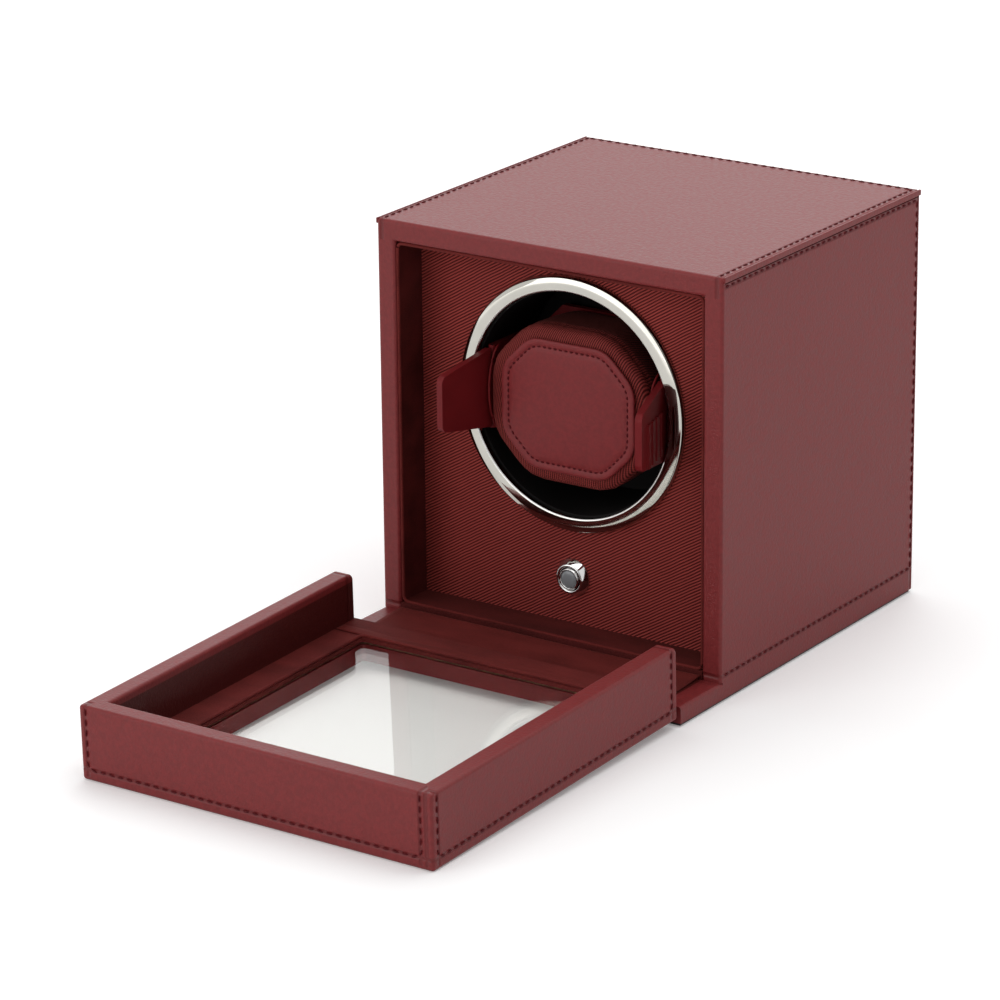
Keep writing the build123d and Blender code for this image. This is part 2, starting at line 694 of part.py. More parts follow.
with BuildPart() as button_nut:
    with BuildSketch(facing(PANEL_BACK_DEPTH, BUTTON_HEIGHT)):
        RegularPolygon(BUTTON_NUT[0], NUT_SIDES)
        Circle(BEZEL_SLEEVE, mode=Mode.SUBTRACT)
    extrude(amount=-BUTTON_NUT[1])

lens_front = bezel_front - LENS_PROUD
collar_front = bezel_lip_back + COLLAR_CLEARANCE
with BuildPart() as button_cap:
    with BuildSketch(turning(BUTTON_HEIGHT)):
        with BuildLine():
            Line((0, lens_front), (LENS_RADIUS / 2, lens_front + LENS_DOME / 4))
            Line((LENS_RADIUS / 2, lens_front + LENS_DOME / 4), (LENS_RADIUS, lens_front + LENS_DOME))
            Polyline(
                (LENS_RADIUS, lens_front + LENS_DOME),
                (LENS_RADIUS, collar_front),
                (COLLAR[0], collar_front),
                (COLLAR[0], collar_front + COLLAR[1]),
                (STEM_RADIUS, collar_front + COLLAR[1]),
                (STEM_RADIUS, STEM_BACK),
                (0, STEM_BACK),
                (0, lens_front),
            )
        make_face()
    revolve(axis=Axis(turning(BUTTON_HEIGHT).origin, turning(BUTTON_HEIGHT).y_dir))

post_places = [(-POST_OFFSET, 0), (POST_OFFSET, 0)]
circuit_back = CIRCUIT_FRONT + CIRCUIT_BOARD[2]
with BuildPart() as board_posts:
    with BuildSketch(facing(PANEL_BACK_DEPTH, CIRCUIT_HEIGHT)):
        with Locations(*post_places):
            Circle(POST_RADIUS)
            Circle(SCREW + SCREW_FIT, mode=Mode.SUBTRACT)
    extrude(amount=PANEL_BACK_DEPTH - CIRCUIT_FRONT)

with BuildPart() as circuit_board:
    with BuildSketch(facing(CIRCUIT_FRONT, CIRCUIT_HEIGHT)):
        Rectangle(CIRCUIT_BOARD[0], CIRCUIT_BOARD[1])
        with Locations(*post_places):
            Circle(SCREW + SCREW_FIT, mode=Mode.SUBTRACT)
    extrude(amount=-CIRCUIT_BOARD[2])
circuit_screws = pan_screws(circuit_back, CIRCUIT_HEIGHT, post_places, CIRCUIT_BOARD[2] + SCREW_BITE)

with BuildPart() as push_switch:
    with BuildSketch(facing(CIRCUIT_FRONT, BUTTON_HEIGHT)):
        Rectangle(SWITCH_BODY[0], SWITCH_BODY[0])
    extrude(amount=SWITCH_BODY[1])
    with BuildSketch(facing(CIRCUIT_FRONT - SWITCH_BODY[1], BUTTON_HEIGHT)):
        Circle(SWITCH_PLUNGER[0])
    extrude(amount=SWITCH_PLUNGER[1])

# Back: service cover and power socket

rear_screw_grid = GridLocations(
    REAR_COVER[0] - 2 * REAR_SCREW_INSET, REAR_COVER[1] - 2 * REAR_SCREW_INSET, 2, 2
)
with BuildPart() as rear_cover_screws:
    with BuildSketch(facing(CASE_DEPTH, REAR_MIDDLE)):
        with rear_screw_grid:
            RegularPolygon(SCREW, SCREW_SIDES)
    extrude(amount=REAR_SCREW_LENGTH)
    heads = turned(
        turning(0),
        (
            (0, CASE_DEPTH - REAR_SCREW_HEAD[1]),
            (SCREW, CASE_DEPTH - REAR_SCREW_HEAD[1]),
            (REAR_SCREW_HEAD[0], CASE_DEPTH),
            (0, CASE_DEPTH),
        ),
    )
    for spot in rear_screw_grid.local_locations:
        add(heads.part.moved(Location((spot.position.X, 0, REAR_MIDDLE + spot.position.Y))))

with BuildPart() as rear_cover:
    with BuildSketch(facing(CASE_DEPTH, REAR_MIDDLE)):
        RectangleRounded(*REAR_COVER, REAR_ROUND)
    extrude(amount=LEATHER)
    with BuildSketch(facing(CASE_DEPTH, SOCKET_HEIGHT)):
        with Locations((SOCKET_PLACE[0], 0)):
            Circle(SOCKET_RADIUS + SOCKET_FIT)
    extrude(amount=LEATHER, mode=Mode.SUBTRACT)
    add(rear_cover_screws.part, mode=Mode.SUBTRACT)

flange_back = CASE_DEPTH - LEATHER
socket_floor = CASE_DEPTH - SOCKET_BORE[1]
power_socket = turned(
    turning(SOCKET_HEIGHT, SOCKET_PLACE[0]),
    (
        (0, CASE_DEPTH - SOCKET_LENGTH),
        (SOCKET_RADIUS, CASE_DEPTH - SOCKET_LENGTH),
        (SOCKET_RADIUS, flange_back - SOCKET_FLANGE[1]),
        (SOCKET_FLANGE[0], flange_back - SOCKET_FLANGE[1]),
        (SOCKET_FLANGE[0], flange_back),
        (SOCKET_RADIUS, flange_back),
        (SOCKET_RADIUS, CASE_DEPTH),
        (SOCKET_BORE[0], CASE_DEPTH),
        (SOCKET_BORE[0], socket_floor),
        (SOCKET_PIN[0], socket_floor),
        (SOCKET_PIN[0], socket_floor + SOCKET_PIN[1]),
        (0, socket_floor + SOCKET_PIN[1]),
    ),
)

# Cuff: yoke, cushion, patch, pins and wings

with BuildPart() as cuff_frame:
    plate = facing(PAD_BACK, AXIS_HEIGHT)
    extrude(octagon(plate, YOKE_PLATE, YOKE_CORNER), -YOKE_WALL)
    extrude(octagon(plate, CORE, CORE_CORNER), PAD_BACK - CORE_FRONT)
    arm_out = YOKE_PLATE[0] / 2
    arm_in = arm_out - WING_WALL
    with BuildSketch(plate):
        with Locations((-(arm_in + arm_out) / 2, 0), ((arm_in + arm_out) / 2, 0)):
            Rectangle(WING_WALL, 2 * ARM_HALF_HEIGHT)
    extrude(amount=PAD_BACK - ARM_FRONT)
    ear_height = ARM_HALF_HEIGHT - EAR_HALF_GAP
    for side in (-1, 1):
        for level in (-1, 1):
            ear_bottom = AXIS_HEIGHT + level * (ARM_HALF_HEIGHT + EAR_HALF_GAP) / 2 - ear_height / 2
            with BuildSketch(Plane.XY.offset(ear_bottom)):
                with Locations((side * PIN_X, FRONT + PIN_DEPTH)):
                    Circle(WING_WALL / 2)
                with Locations((side * PIN_X, FRONT + (PIN_DEPTH + ARM_FRONT) / 2)):
                    Rectangle(WING_WALL, ARM_FRONT - PIN_DEPTH)
            extrude(amount=ear_height)
    nub_reach = CUP_BORE - NUB_CLEARANCE
    with BuildSketch(facing(NUB_DEPTH[0], AXIS_HEIGHT)):
        with Locations((-(arm_in + nub_reach) / 2, 0), ((arm_in + nub_reach) / 2, 0)):
            Rectangle(nub_reach - arm_in, 2 * NUB_HALF_HEIGHT)
    extrude(amount=NUB_DEPTH[0] - NUB_DEPTH[1])
    for side in (-1, 1):
        with BuildSketch(Plane.XY.offset(AXIS_HEIGHT - ARM_HALF_HEIGHT)):
            with Locations((side * PIN_X, FRONT + PIN_DEPTH)):
                Circle(PIN_RADIUS)
        extrude(amount=2 * ARM_HALF_HEIGHT, mode=Mode.SUBTRACT)

with BuildPart() as wing_pins:
    with BuildSketch(Plane.XY.offset(AXIS_HEIGHT - ARM_HALF_HEIGHT)):
        with Locations((-PIN_X, FRONT + PIN_DEPTH), (PIN_X, FRONT + PIN_DEPTH)):
            Circle(PIN_RADIUS)
    extrude(amount=2 * ARM_HALF_HEIGHT)

with BuildPart() as cuff_pad:
    loft([
        octagon(
            facing(depth, AXIS_HEIGHT),
            (PAD[0] - 2 * inset, PAD[1] - 2 * inset),
            PAD_CORNER - OCTAGON_SHRINK * inset,
            PAD_CORNER_ROUND,
        )
        for depth, inset in PAD_CROWN
    ], ruled=True)
    core = octagon(facing(PAD_BACK, AXIS_HEIGHT), CORE, CORE_CORNER)
    extrude(core, PAD_BACK - CORE_FRONT, mode=Mode.SUBTRACT)

with BuildPart() as cuff_patch:
    extrude(octagon(facing(PAD_FRONT, AXIS_HEIGHT), PATCH, PATCH_CORNER, PATCH_ROUND), PATCH_THICK)
    chamfer(cuff_patch.faces().sort_by(Axis.Y)[0].edges(), PATCH_EDGE)


def wing(side, flare):
    """A sprung wing on its pin; side is 1 on the right and -1 on the left."""
    pin = Vector(side * PIN_X, FRONT + PIN_DEPTH, AXIS_HEIGHT)
    blade = Plane(
        origin=pin,
        x_dir=(side * sin(flare), -cos(flare), 0),
        z_dir=(side * cos(flare), sin(flare), 0),
    )
    barrel_half = EAR_HALF_GAP - EAR_CLEARANCE
    with BuildPart() as piece:
        with BuildSketch(blade.offset(-WING_WALL / 2)) as outline:
            Polygon(
                (0, -barrel_half),
                (WING_ROOT, -barrel_half),
                (WING_ROOT, -WING_ROOT_HALF),
                (WING_LENGTH, -WING_TIP_HALF),
                (WING_LENGTH, WING_TIP_HALF),
                (WING_ROOT, WING_ROOT_HALF),
                (WING_ROOT, barrel_half),
                (0, barrel_half),
                align=None,
            )
            at_tip = [
                corner for corner in outline.vertices() if blade.to_local_coords(corner).X > WING_LENGTH / 2
            ]
            fillet(at_tip, WING_TIP_ROUND)
        extrude(amount=WING_WALL)
        with BuildSketch(blade.offset(WING_WALL / 2)):
            with Locations(*[
                (GRIP_RIB_FIRST + rib * GRIP_RIB_PITCH, -side * GRIP_RIB_MIDDLE) for rib in range(GRIP_RIBS)
            ]):
                Rectangle(GRIP_RIB[0], GRIP_RIB[1])
        extrude(amount=GRIP_RIB[2])
        with BuildSketch(Plane.XY.offset(AXIS_HEIGHT - barrel_half)):
            with Locations((pin.X, pin.Y)):
                Circle(WING_WALL / 2)
        extrude(amount=2 * barrel_half)
        with BuildSketch(Plane.XY.offset(AXIS_HEIGHT - barrel_half)):
            with Locations((pin.X, pin.Y)):
                Circle(PIN_RADIUS + RUNNING_FIT)
        extrude(amount=2 * barrel_half, mode=Mode.SUBTRACT)
    return piece


cuff_right_wing = wing(1, RIGHT_FLARE)
cuff_left_wing = wing(-1, LEFT_FLARE)

# Leather hinge between the case and the cover

with BuildPart() as hinge_leather_base:
    with BuildSketch(Plane.YZ.offset(-HINGE_HALF)):
        with Locations((PIVOT_Y, (BASE_PAD + HINGE_HEIGHT) / 2)):
            Rectangle(HINGE_LEATHER, HINGE_HEIGHT - BASE_PAD)
        with Locations((PIVOT_Y, HINGE_HEIGHT)):
            Circle(HINGE_LEATHER / 2)
    extrude(amount=2 * HINGE_HALF)

hinge_start = HINGE_LEATHER / 2 + HINGE_CLEARANCE - HINGE_REACH
with BuildPart() as hinge_leather_cover:
    extrude(rectangle(cover_at(LEATHER), (-HINGE_HALF, HINGE_HALF), (hinge_start, HINGE_GRIP)), HINGE_LEATHER)

# Cover: panel, glass and face

with BuildPart() as cover_shape:
    extrude(rectangle(cover_at(0), (-SIDE, SIDE), (0, COVER_LENGTH)), COVER_DEPTH)
    extrude(
        rectangle(cover_at(COVER_FLOOR), (-OPENING, OPENING), (0, TRAY_END)),
        COVER_DEPTH - COVER_FLOOR,
        mode=Mode.SUBTRACT,
    )

    def in_cover(edge):
        return cover_at(0).to_local_coords(edge.center())

    at_top = cover_shape.edges().filter_by(lambda edge: abs(in_cover(edge).Z - COVER_DEPTH) < SEAM)
    fillet(at_top.filter_by(lambda edge: in_cover(edge).Y < SEAM), COVER_CORNER)
    rounded = cover_shape.edges().filter_by(lambda edge: abs(in_cover(edge).Z - COVER_DEPTH) < SEAM)
    rounded += cover_shape.edges().filter_by(lambda edge: in_cover(edge).Z < SEAM)
    rounded += cover_shape.edges().filter_by(Axis((0, 0, 0), cover_plane.z_dir)).filter_by(
        lambda edge: in_cover(edge).Y > COVER_LENGTH - SEAM
    )
    fillet(rounded, EDGE_ROUND)

with BuildPart() as hinge_pocket:
    extrude(rectangle(cover_at(LEATHER), (-OPENING, OPENING), (0, HINGE_GRIP)), HINGE_LEATHER)

with BuildPart() as cover_panel:
    panel_y = (LEATHER, COVER_LENGTH - LEATHER)
    extrude(rectangle(cover_at(LEATHER), (-BOARD_OUT, BOARD_OUT), panel_y), COVER_PANEL)
    add(hinge_pocket.part, mode=Mode.SUBTRACT)
    hole_half = WINDOW_HALF + WINDOW_TURN_IN
    hole_y = (WINDOW_HINGE - WINDOW_TURN_IN, WINDOW_END + WINDOW_TURN_IN)
    extrude(
        rectangle(cover_at(LEATHER), (-hole_half, hole_half), hole_y, WINDOW_ROUND + WINDOW_TURN_IN),
        COVER_PANEL,
        mode=Mode.SUBTRACT,
    )
    rebate_half = WINDOW_HALF + GLASS_REBATE
    rebate_y = (WINDOW_HINGE - GLASS_REBATE, WINDOW_END + GLASS_REBATE)
    extrude(
        rectangle(cover_at(GLASS_UNDER), (-rebate_half, rebate_half), rebate_y, WINDOW_ROUND),
        GLASS,
        mode=Mode.SUBTRACT,
    )

with BuildPart() as cover_glass:
    glass_half = rebate_half - GLASS_CLEARANCE
    glass_y = (rebate_y[0] + GLASS_CLEARANCE, rebate_y[1] - GLASS_CLEARANCE)
    extrude(rectangle(cover_at(GLASS_UNDER), (-glass_half, glass_half), glass_y, WINDOW_ROUND), GLASS)

window_y = (WINDOW_HINGE, WINDOW_END)
with BuildPart() as cover_face_leather:
    extrude(rectangle(cover_at(0), (-SIDE, SIDE), (0, COVER_LENGTH)), LEATHER)
    extrude(
        rectangle(cover_at(LEATHER), (-hole_half, hole_half), hole_y, WINDOW_ROUND + WINDOW_TURN_IN),
        GLASS_UNDER - LEATHER,
    )
    extrude(
        rectangle(cover_at(0), (-WINDOW_HALF, WINDOW_HALF), window_y, WINDOW_ROUND),
        GLASS_UNDER,
        mode=Mode.SUBTRACT,
    )
    add(cover_shape.part, mode=Mode.INTERSECT)

with BuildPart() as cover_lining:
    over_hinge = rectangle(cover_at(LEATHER + HINGE_LEATHER), (-OPENING, OPENING), (0, LEATHER))
    extrude(over_hinge, PANEL_TOP - LEATHER)
    extrude(rectangle(cover_at(PANEL_TOP), (-OPENING, OPENING), (0, TRAY_END)), LEATHER)
    extrude(
        rectangle(cover_at(PANEL_TOP), (-WINDOW_HALF, WINDOW_HALF), window_y, WINDOW_ROUND),
        LEATHER,
        mode=Mode.SUBTRACT,
    )

with BuildPart() as window_piping:
    piping_half = WINDOW_HALF + PIPING[0]
    piping_y = (WINDOW_HINGE - PIPING[0], WINDOW_END + PIPING[0])
    extrude(
        rectangle(cover_at(COVER_FLOOR), (-piping_half, piping_half), piping_y, WINDOW_ROUND + PIPING[0]),
        PIPING[1],
    )
    extrude(
        rectangle(cover_at(COVER_FLOOR), (-WINDOW_HALF, WINDOW_HALF), window_y, WINDOW_ROUND),
        PIPING[1],
        mode=Mode.SUBTRACT,
    )
    chamfer(
        window_piping.edges().filter_by(lambda edge: in_cover(edge).Z > COVER_FLOOR + PIPING[1] - SEAM),
        PIPING_ROUND,
    )

# Cover: the rim round its tray, in boards with leather over them and mitred at the far corners

with BuildPart() as cover_magnets:
    with BuildSketch(cover_at(RIM_TOP)):
        magnet_reach = LID_UNDER + BOARD / 2 - COVER_FOOT
        with Locations((-MAGNET_OFFSET, magnet_reach), (MAGNET_OFFSET, magnet_reach)):
            Rectangle(MAGNET[0], MAGNET[1])
    extrude(amount=-MAGNET[2])

board_in = OPENING + LEATHER
board_y = (LEATHER, TRAY_END + LEATHER)
with BuildPart() as cover_side_board:
    extrude(rectangle(cover_at(PANEL_TOP), (board_in, BOARD_OUT), board_y), RIM_TOP - PANEL_TOP)
cover_side_boards = paired(cover_side_board)

with BuildPart() as cover_end_board:
    end_y = (TRAY_END + LEATHER, COVER_LENGTH - LEATHER)
    extrude(rectangle(cover_at(PANEL_TOP), (-BOARD_OUT, BOARD_OUT), end_y), RIM_TOP - PANEL_TOP)
    add(cover_magnets.part, mode=Mode.SUBTRACT)


def side_band(height, outer, inner):
    """The side of a flat frame between two insets from the edge of the cover, mitred at its far end."""
    with BuildSketch(cover_at(height)) as band:
        Polygon(
            (SIDE - inner, 0),
            (SIDE - outer, 0),
            (SIDE - outer, COVER_LENGTH - outer),
            (SIDE - inner, COVER_LENGTH - inner),
            align=None,
        )
    return band.sketch


def end_band(height, outer, inner):
    """The far end of the same frame, mitred at both its ends."""
    with BuildSketch(cover_at(height)) as band:
        Polygon(
            (inner - SIDE, COVER_LENGTH - inner),
            (SIDE - inner, COVER_LENGTH - inner),
            (SIDE - outer, COVER_LENGTH - outer),
            (outer - SIDE, COVER_LENGTH - outer),
            align=None,
        )
    return band.sketch


def rim_leather(band):
    """Leather over a rim board: outer wall, top and inner wall."""
    with BuildPart() as cover:
        extrude(band(LEATHER, 0, LEATHER), COVER_DEPTH - LEATHER)
        extrude(band(RIM_TOP, 0, RIM), LEATHER)
        extrude(band(PANEL_TOP, RIM - LEATHER, RIM), RIM_TOP - PANEL_TOP)
    return cover


with BuildPart() as rim_leather_side:
    add(rim_leather(side_band).part)
    extrude(rectangle(cover_at(LEATHER), (OPENING, SIDE), (0, LEATHER)), COVER_DEPTH - LEATHER)
    add(cover_shape.part, mode=Mode.INTERSECT)
cover_side_leathers = paired(rim_leather_side)

with BuildPart() as cover_end_leather:
    add(rim_leather(end_band).part)
    add(cover_shape.part, mode=Mode.INTERSECT)

pieces = {
    "base_pad": base_pad,
    "base_board": base_board,
    "case_left_board": left_board,
    "case_right_board": right_board,
    "case_top_board": top_board,
    "case_back_board": back_board,
    "case_magnets": case_magnets,
    "case_top_leather": top_leather,
    "case_left_leather": left_leather,
    "case_right_leather": right_leather,
    "case_back_leather": back_leather,
    "ledge_leather": ledge_leather,
    "ledge_lining": ledge_lining,
    "recess_floor": recess_floor,
    "recess_side_liners": recess_side_liners,
    "recess_top_liner": recess_top_liner,
    "fascia_fabric": fascia_fabric,
    "fascia_panel": fascia_panel,
    "ring_bezel": ring_bezel,
    "drum_housing": drum_housing,
    "housing_screws": housing_screws,
    "drum_axle": drum_axle,
    "gear_motor": gear_motor,
    "motor_screws": motor_screws,
    "motor_shaft": motor_shaft,
    "motor_pinion": motor_pinion,
    "drum_cup": drum_cup,
    "drum_gear": drum_gear,
    "drum_bush": drum_bush,
    "button_bezel": button_bezel,
    "button_nut": button_nut,
    "button_cap": button_cap,
    "board_posts": board_posts,
    "circuit_board": circuit_board,
    "circuit_screws": circuit_screws,
    "push_switch": push_switch,
    "rear_cover": rear_cover,
    "rear_cover_screws": rear_cover_screws,
    "power_socket": power_socket,
    "cuff_frame": cuff_frame,
    "cuff_pad": cuff_pad,
    "cuff_patch": cuff_patch,
    "wing_pins": wing_pins,
    "cuff_left_wing": cuff_left_wing,
    "cuff_right_wing": cuff_right_wing,
    "hinge_leather_base": hinge_leather_base,
    "hinge_leather_cover": hinge_leather_cover,
    "cover_panel": cover_panel,
    "cover_glass": cover_glass,
    "cover_face_leather": cover_face_leather,
    "cover_lining": cover_lining,
    "window_piping": window_piping,
    "cover_magnets": cover_magnets,
    "cover_side_boards": cover_side_boards,
    "cover_end_board": cover_end_board,
    "cover_side_leathers": cover_side_leathers,
    "cover_end_leather": cover_end_leather,
}
for label, piece in pieces.items():
    write(piece, label)
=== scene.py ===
import json
import math

import bmesh
import bpy
from mathutils import Matrix, Vector


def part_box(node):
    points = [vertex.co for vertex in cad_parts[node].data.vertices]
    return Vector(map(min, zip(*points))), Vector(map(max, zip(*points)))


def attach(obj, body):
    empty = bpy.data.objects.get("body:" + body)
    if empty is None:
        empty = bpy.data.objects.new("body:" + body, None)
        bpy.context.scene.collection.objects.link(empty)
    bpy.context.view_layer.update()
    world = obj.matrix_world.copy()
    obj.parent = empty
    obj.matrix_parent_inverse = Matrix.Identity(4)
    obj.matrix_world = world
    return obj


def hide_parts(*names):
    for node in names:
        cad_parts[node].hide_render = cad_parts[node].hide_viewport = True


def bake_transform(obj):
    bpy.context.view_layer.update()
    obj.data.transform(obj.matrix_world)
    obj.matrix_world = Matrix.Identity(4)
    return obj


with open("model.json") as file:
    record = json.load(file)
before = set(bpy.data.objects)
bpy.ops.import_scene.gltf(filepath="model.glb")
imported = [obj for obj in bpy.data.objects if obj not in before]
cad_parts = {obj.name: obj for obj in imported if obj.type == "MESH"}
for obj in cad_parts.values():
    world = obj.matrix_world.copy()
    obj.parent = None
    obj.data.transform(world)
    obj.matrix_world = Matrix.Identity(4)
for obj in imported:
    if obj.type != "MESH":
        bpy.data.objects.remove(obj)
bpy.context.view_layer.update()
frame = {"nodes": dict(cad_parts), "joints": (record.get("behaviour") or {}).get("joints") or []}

# A leather watch winder with its glazed cover lowered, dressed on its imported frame.

MM = 0.001


# Places taken from the frame

def middle(node):
    low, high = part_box(node)
    return (low + high) / 2


AXIS = middle("ring_bezel")
BUTTON = middle("button_bezel")
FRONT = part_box("case_top_leather")[0].y
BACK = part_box("case_top_leather")[1].y
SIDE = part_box("case_top_leather")[1].x
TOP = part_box("case_top_leather")[1].z
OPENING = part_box("recess_floor")[1].x
hinge = next(joint for joint in frame["joints"] if joint["name"] == "cover_hinge")
PIVOT = Vector(hinge["pos_m"])

# The lowered cover, as part.py builds it: its slope, where its outer face lies from the pivot, and its sizes
SLOPE = math.radians(1.39964)
HINGE_REACH = 2.5 * MM
FACE_INSET = 2.0 * MM
COVER_LENGTH = 142 * MM
COVER_DEPTH = 26.3 * MM
COVER_FLOOR = 9.5 * MM
RIM = 7.4 * MM

# Sewn rows: how far in they lie, and the stitches' spacing
ROW_INSET = 2.2 * MM
SIDE_HIGH_ROW = TOP - 3.4 * MM
SIDE_LOW_ROW = 9.5 * MM
END_ROW_LEFT = 2.7 * MM
END_ROW_RIGHT = 4.7 * MM
LOW_ROW = 4.0 * MM
HIGH_ROW = COVER_DEPTH - 2.2 * MM
SIDE_ROW_FRONT = 2.9 * MM
SIDE_ROW_BACK = 3.6 * MM
CORNER_TURN = 1.6 * MM
CASE_SPACING = 3.6 * MM
PATCH_SPACING = 2.2 * MM
TURNED_EDGE = 1.9 * MM


def on_cover(across, along, above):
    """A point of the lowered cover: along from its hinge end, above its outer face."""
    reach = along + HINGE_REACH
    rise = above - FACE_INSET
    return Vector((
        across,
        PIVOT.y - math.cos(SLOPE) * reach - math.sin(SLOPE) * rise,
        PIVOT.z - math.sin(SLOPE) * reach + math.cos(SLOPE) * rise,
    ))


# Making of meshes

def piece_from(name, points, faces):
    """A new smooth piece with its place in its mesh."""
    mesh = bpy.data.meshes.new(name)
    mesh.from_pydata([tuple(point) for point in points], [], faces)
    mesh.validate()
    work = bmesh.new()
    work.from_mesh(mesh)
    bmesh.ops.remove_doubles(work, verts=work.verts, dist=1e-7)
    bmesh.ops.recalc_face_normals(work, faces=work.faces)
    for face in work.faces:
        face.smooth = True
    work.to_mesh(mesh)
    work.free()
    piece = bpy.data.objects.new(name, mesh)
    bpy.context.scene.collection.objects.link(piece)
    return piece


def rings_to_piece(name, rings, closed_start=True, closed_end=True, around=True):
    """A skin over rings of points of equal count, with a middle point closing each end."""
    count = len(rings[0])
    points = [point for ring in rings for point in ring]
    faces = []
    for level in range(len(rings) - 1):
        for step in range(count if around else count - 1):
            a = level * count + step
            b = level * count + (step + 1) % count
            faces.append((a, b, b + count, a + count))
    for wanted, first in ((closed_start, 0), (closed_end, (len(rings) - 1) * count)):
        if wanted:
            ring = points[first:first + count]
            points.append(sum(ring, Vector()) / count)
            for step in range(count):
                faces.append((first + step, first + (step + 1) % count, len(points) - 1))
    return piece_from(name, points, faces)


def rounded_corner(before, here, after, size, parts):
    """Points along the curve that rounds one corner."""
    start = here + (before - here).normalized() * size
    end = here + (after - here).normalized() * size
    return [
        (start * (1 - t) + here * t) * (1 - t) + (here * (1 - t) + end * t) * t
        for t in (part / parts for part in range(parts + 1))
    ]


def rounded_profile(corners, reach, parts=5):
    """Corners of a closed profile, each rounded by its own reach."""
    made = []
    for index, corner in enumerate(corners):
        here = Vector(corner)
        before = Vector(corners[index - 1])
        after = Vector(corners[(index + 1) % len(corners)])
        size = reach[index] if isinstance(reach, (list, tuple)) else reach
        size = min(size, (before - here).length * 0.45, (after - here).length * 0.45)
        made.extend(rounded_corner(before, here, after, size, parts))
    return made


def turned(centre, profile, steps):
    """Rings about the drum's direction; the profile holds (radius, depth behind the front)."""
    return [
        [
            Vector((
                centre.x + radius * math.cos(2 * math.pi * step / steps),
                FRONT + depth,
                centre.z + radius * math.sin(2 * math.pi * step / steps),
            ))
            for step in range(steps)
        ]
        for radius, depth in profile
    ]


def closed_turning(name, centre, corners, reach, steps):
    """A solid of revolution with a hole, from a closed profile with rounded corners."""
    profile = rounded_profile(corners, reach)
    profile.append(profile[0])
    rings = turned(centre, [tuple(point) for point in profile], steps)
    return rings_to_piece(name, rings, closed_start=False, closed_end=False)


def octagon(width, height, corner, rounding):
    """Points round a rectangle with cut corners, the eight corners rounded."""
    per_corner = per_side = 6
    x, z, c = width / 2, height / 2, corner
    corners = [
        (x, -z + c), (x, z - c), (x - c, z), (-x + c, z), (-x, z - c), (-x, -z + c), (-x + c, -z), (x - c, -z),
    ]
    rounded = rounded_profile(corners, rounding, per_corner)
    made = []
    chunk = per_corner + 1
    for index in range(8):
        part = rounded[index * chunk:(index + 1) * chunk]
        made.extend(part)
        following = rounded[((index + 1) * chunk) % len(rounded)]
        for step in range(1, per_side):
            made.append(part[-1].lerp(following, step / per_side))
    return made


def tube(name, path, radius, closed=False, sides=10):
    """A round bead along a path of points."""
    rings = []
    count = len(path)
    for index, point in enumerate(path):
        if closed:
            tangent = (path[(index + 1) % count] - path[index - 1]).normalized()
        else:
            tangent = (path[min(index + 1, count - 1)] - path[max(index - 1, 0)]).normalized()
        helper = Vector((0, 0, 1)) if abs(tangent.z) < 0.9 else Vector((1, 0, 0))
        first = tangent.cross(helper).normalized()
        second = tangent.cross(first).normalized()
        rings.append([
            point + radius * (math.cos(2 * math.pi * k / sides) * first + math.sin(2 * math.pi * k / sides) * second)
            for k in range(sides)
        ])
    if closed:
        rings.append(rings[0])
    return rings_to_piece(name, rings, not closed, not closed)


# Making of finishes

def new_finish(name, **surface):
    """A material with its surface shader; values that hold all over are set on the shader itself."""
    finish = bpy.data.materials.new(name)
    finish.use_nodes = True
    shader = finish.node_tree.nodes["Principled BSDF"]
    for key, value in surface.items():
        shader.inputs[key.replace("_", " ").title().replace("Ior", "IOR")].default_value = value
    return finish


def add_node(finish, kind, inputs=None, **settings):
    """A node with its settings; an input is a value or another node's output."""
    node = finish.node_tree.nodes.new("ShaderNode" + kind)
    for key, value in settings.items():
        setattr(node, key, value)
    for key, value in (inputs or {}).items():
        if isinstance(value, bpy.types.NodeSocket):
            finish.node_tree.links.new(value, node.inputs[key])
        else:
            node.inputs[key].default_value = value
    return node


def feed(finish, socket, output):
    shader = finish.node_tree.nodes["Principled BSDF"]
    finish.node_tree.links.new(output, shader.inputs[socket])


def plain_places(finish):
    return add_node(finish, "TexCoord").outputs["Object"]


def cover_places(finish):
    """Places turned so that z is square to the lowered cover."""
    shift = Vector((0, math.cos(SLOPE) * PIVOT.y + math.sin(SLOPE) * PIVOT.z,
                    -math.sin(SLOPE) * PIVOT.y + math.cos(SLOPE) * PIVOT.z))
    return add_node(
        finish, "Mapping", {"Vector": plain_places(finish), "Location": -shift, "Rotation": (-SLOPE, 0, 0)},
    ).outputs["Vector"]


def toned(colour, share):
    return tuple(min(1.0, channel * share) for channel in colour)


def sums(finish, operation, *values):
    return add_node(finish, "Math", dict(enumerate(values)), operation=operation).outputs[0]


def noise(finish, places, scale, detail=3.0, roughness=0.5):
    return add_node(
        finish, "TexNoise", {"Vector": places, "Scale": scale, "Detail": detail, "Roughness": roughness}
    ).outputs["Fac"]


def blend_colours(finish, share, first, second):
    """The first colour where the share is nothing and the second where it is one."""
    inputs = {0: share}
    for socket, colour in ((6, first), (7, second)):
        inputs[socket] = colour if isinstance(colour, bpy.types.NodeSocket) else (*colour, 1)
    return add_node(finish, "Mix", inputs, data_type="RGBA").outputs[2]


def relief(finish, height, distance, strength=1.0, under=None):
    inputs = {"Height": height, "Distance": distance, "Strength": strength}
    if under is not None:
        inputs["Normal"] = under
    return add_node(finish, "Bump", inputs).outputs["Normal"]


def map_between(finish, value, low, high, to_low=0.0, to_high=1.0):
    return add_node(
        finish, "MapRange",
        {"Value": value, "From Min": low, "From Max": high, "To Min": to_low, "To Max": to_high},
        interpolation_type="SMOOTHSTEP",
    ).outputs["Result"]


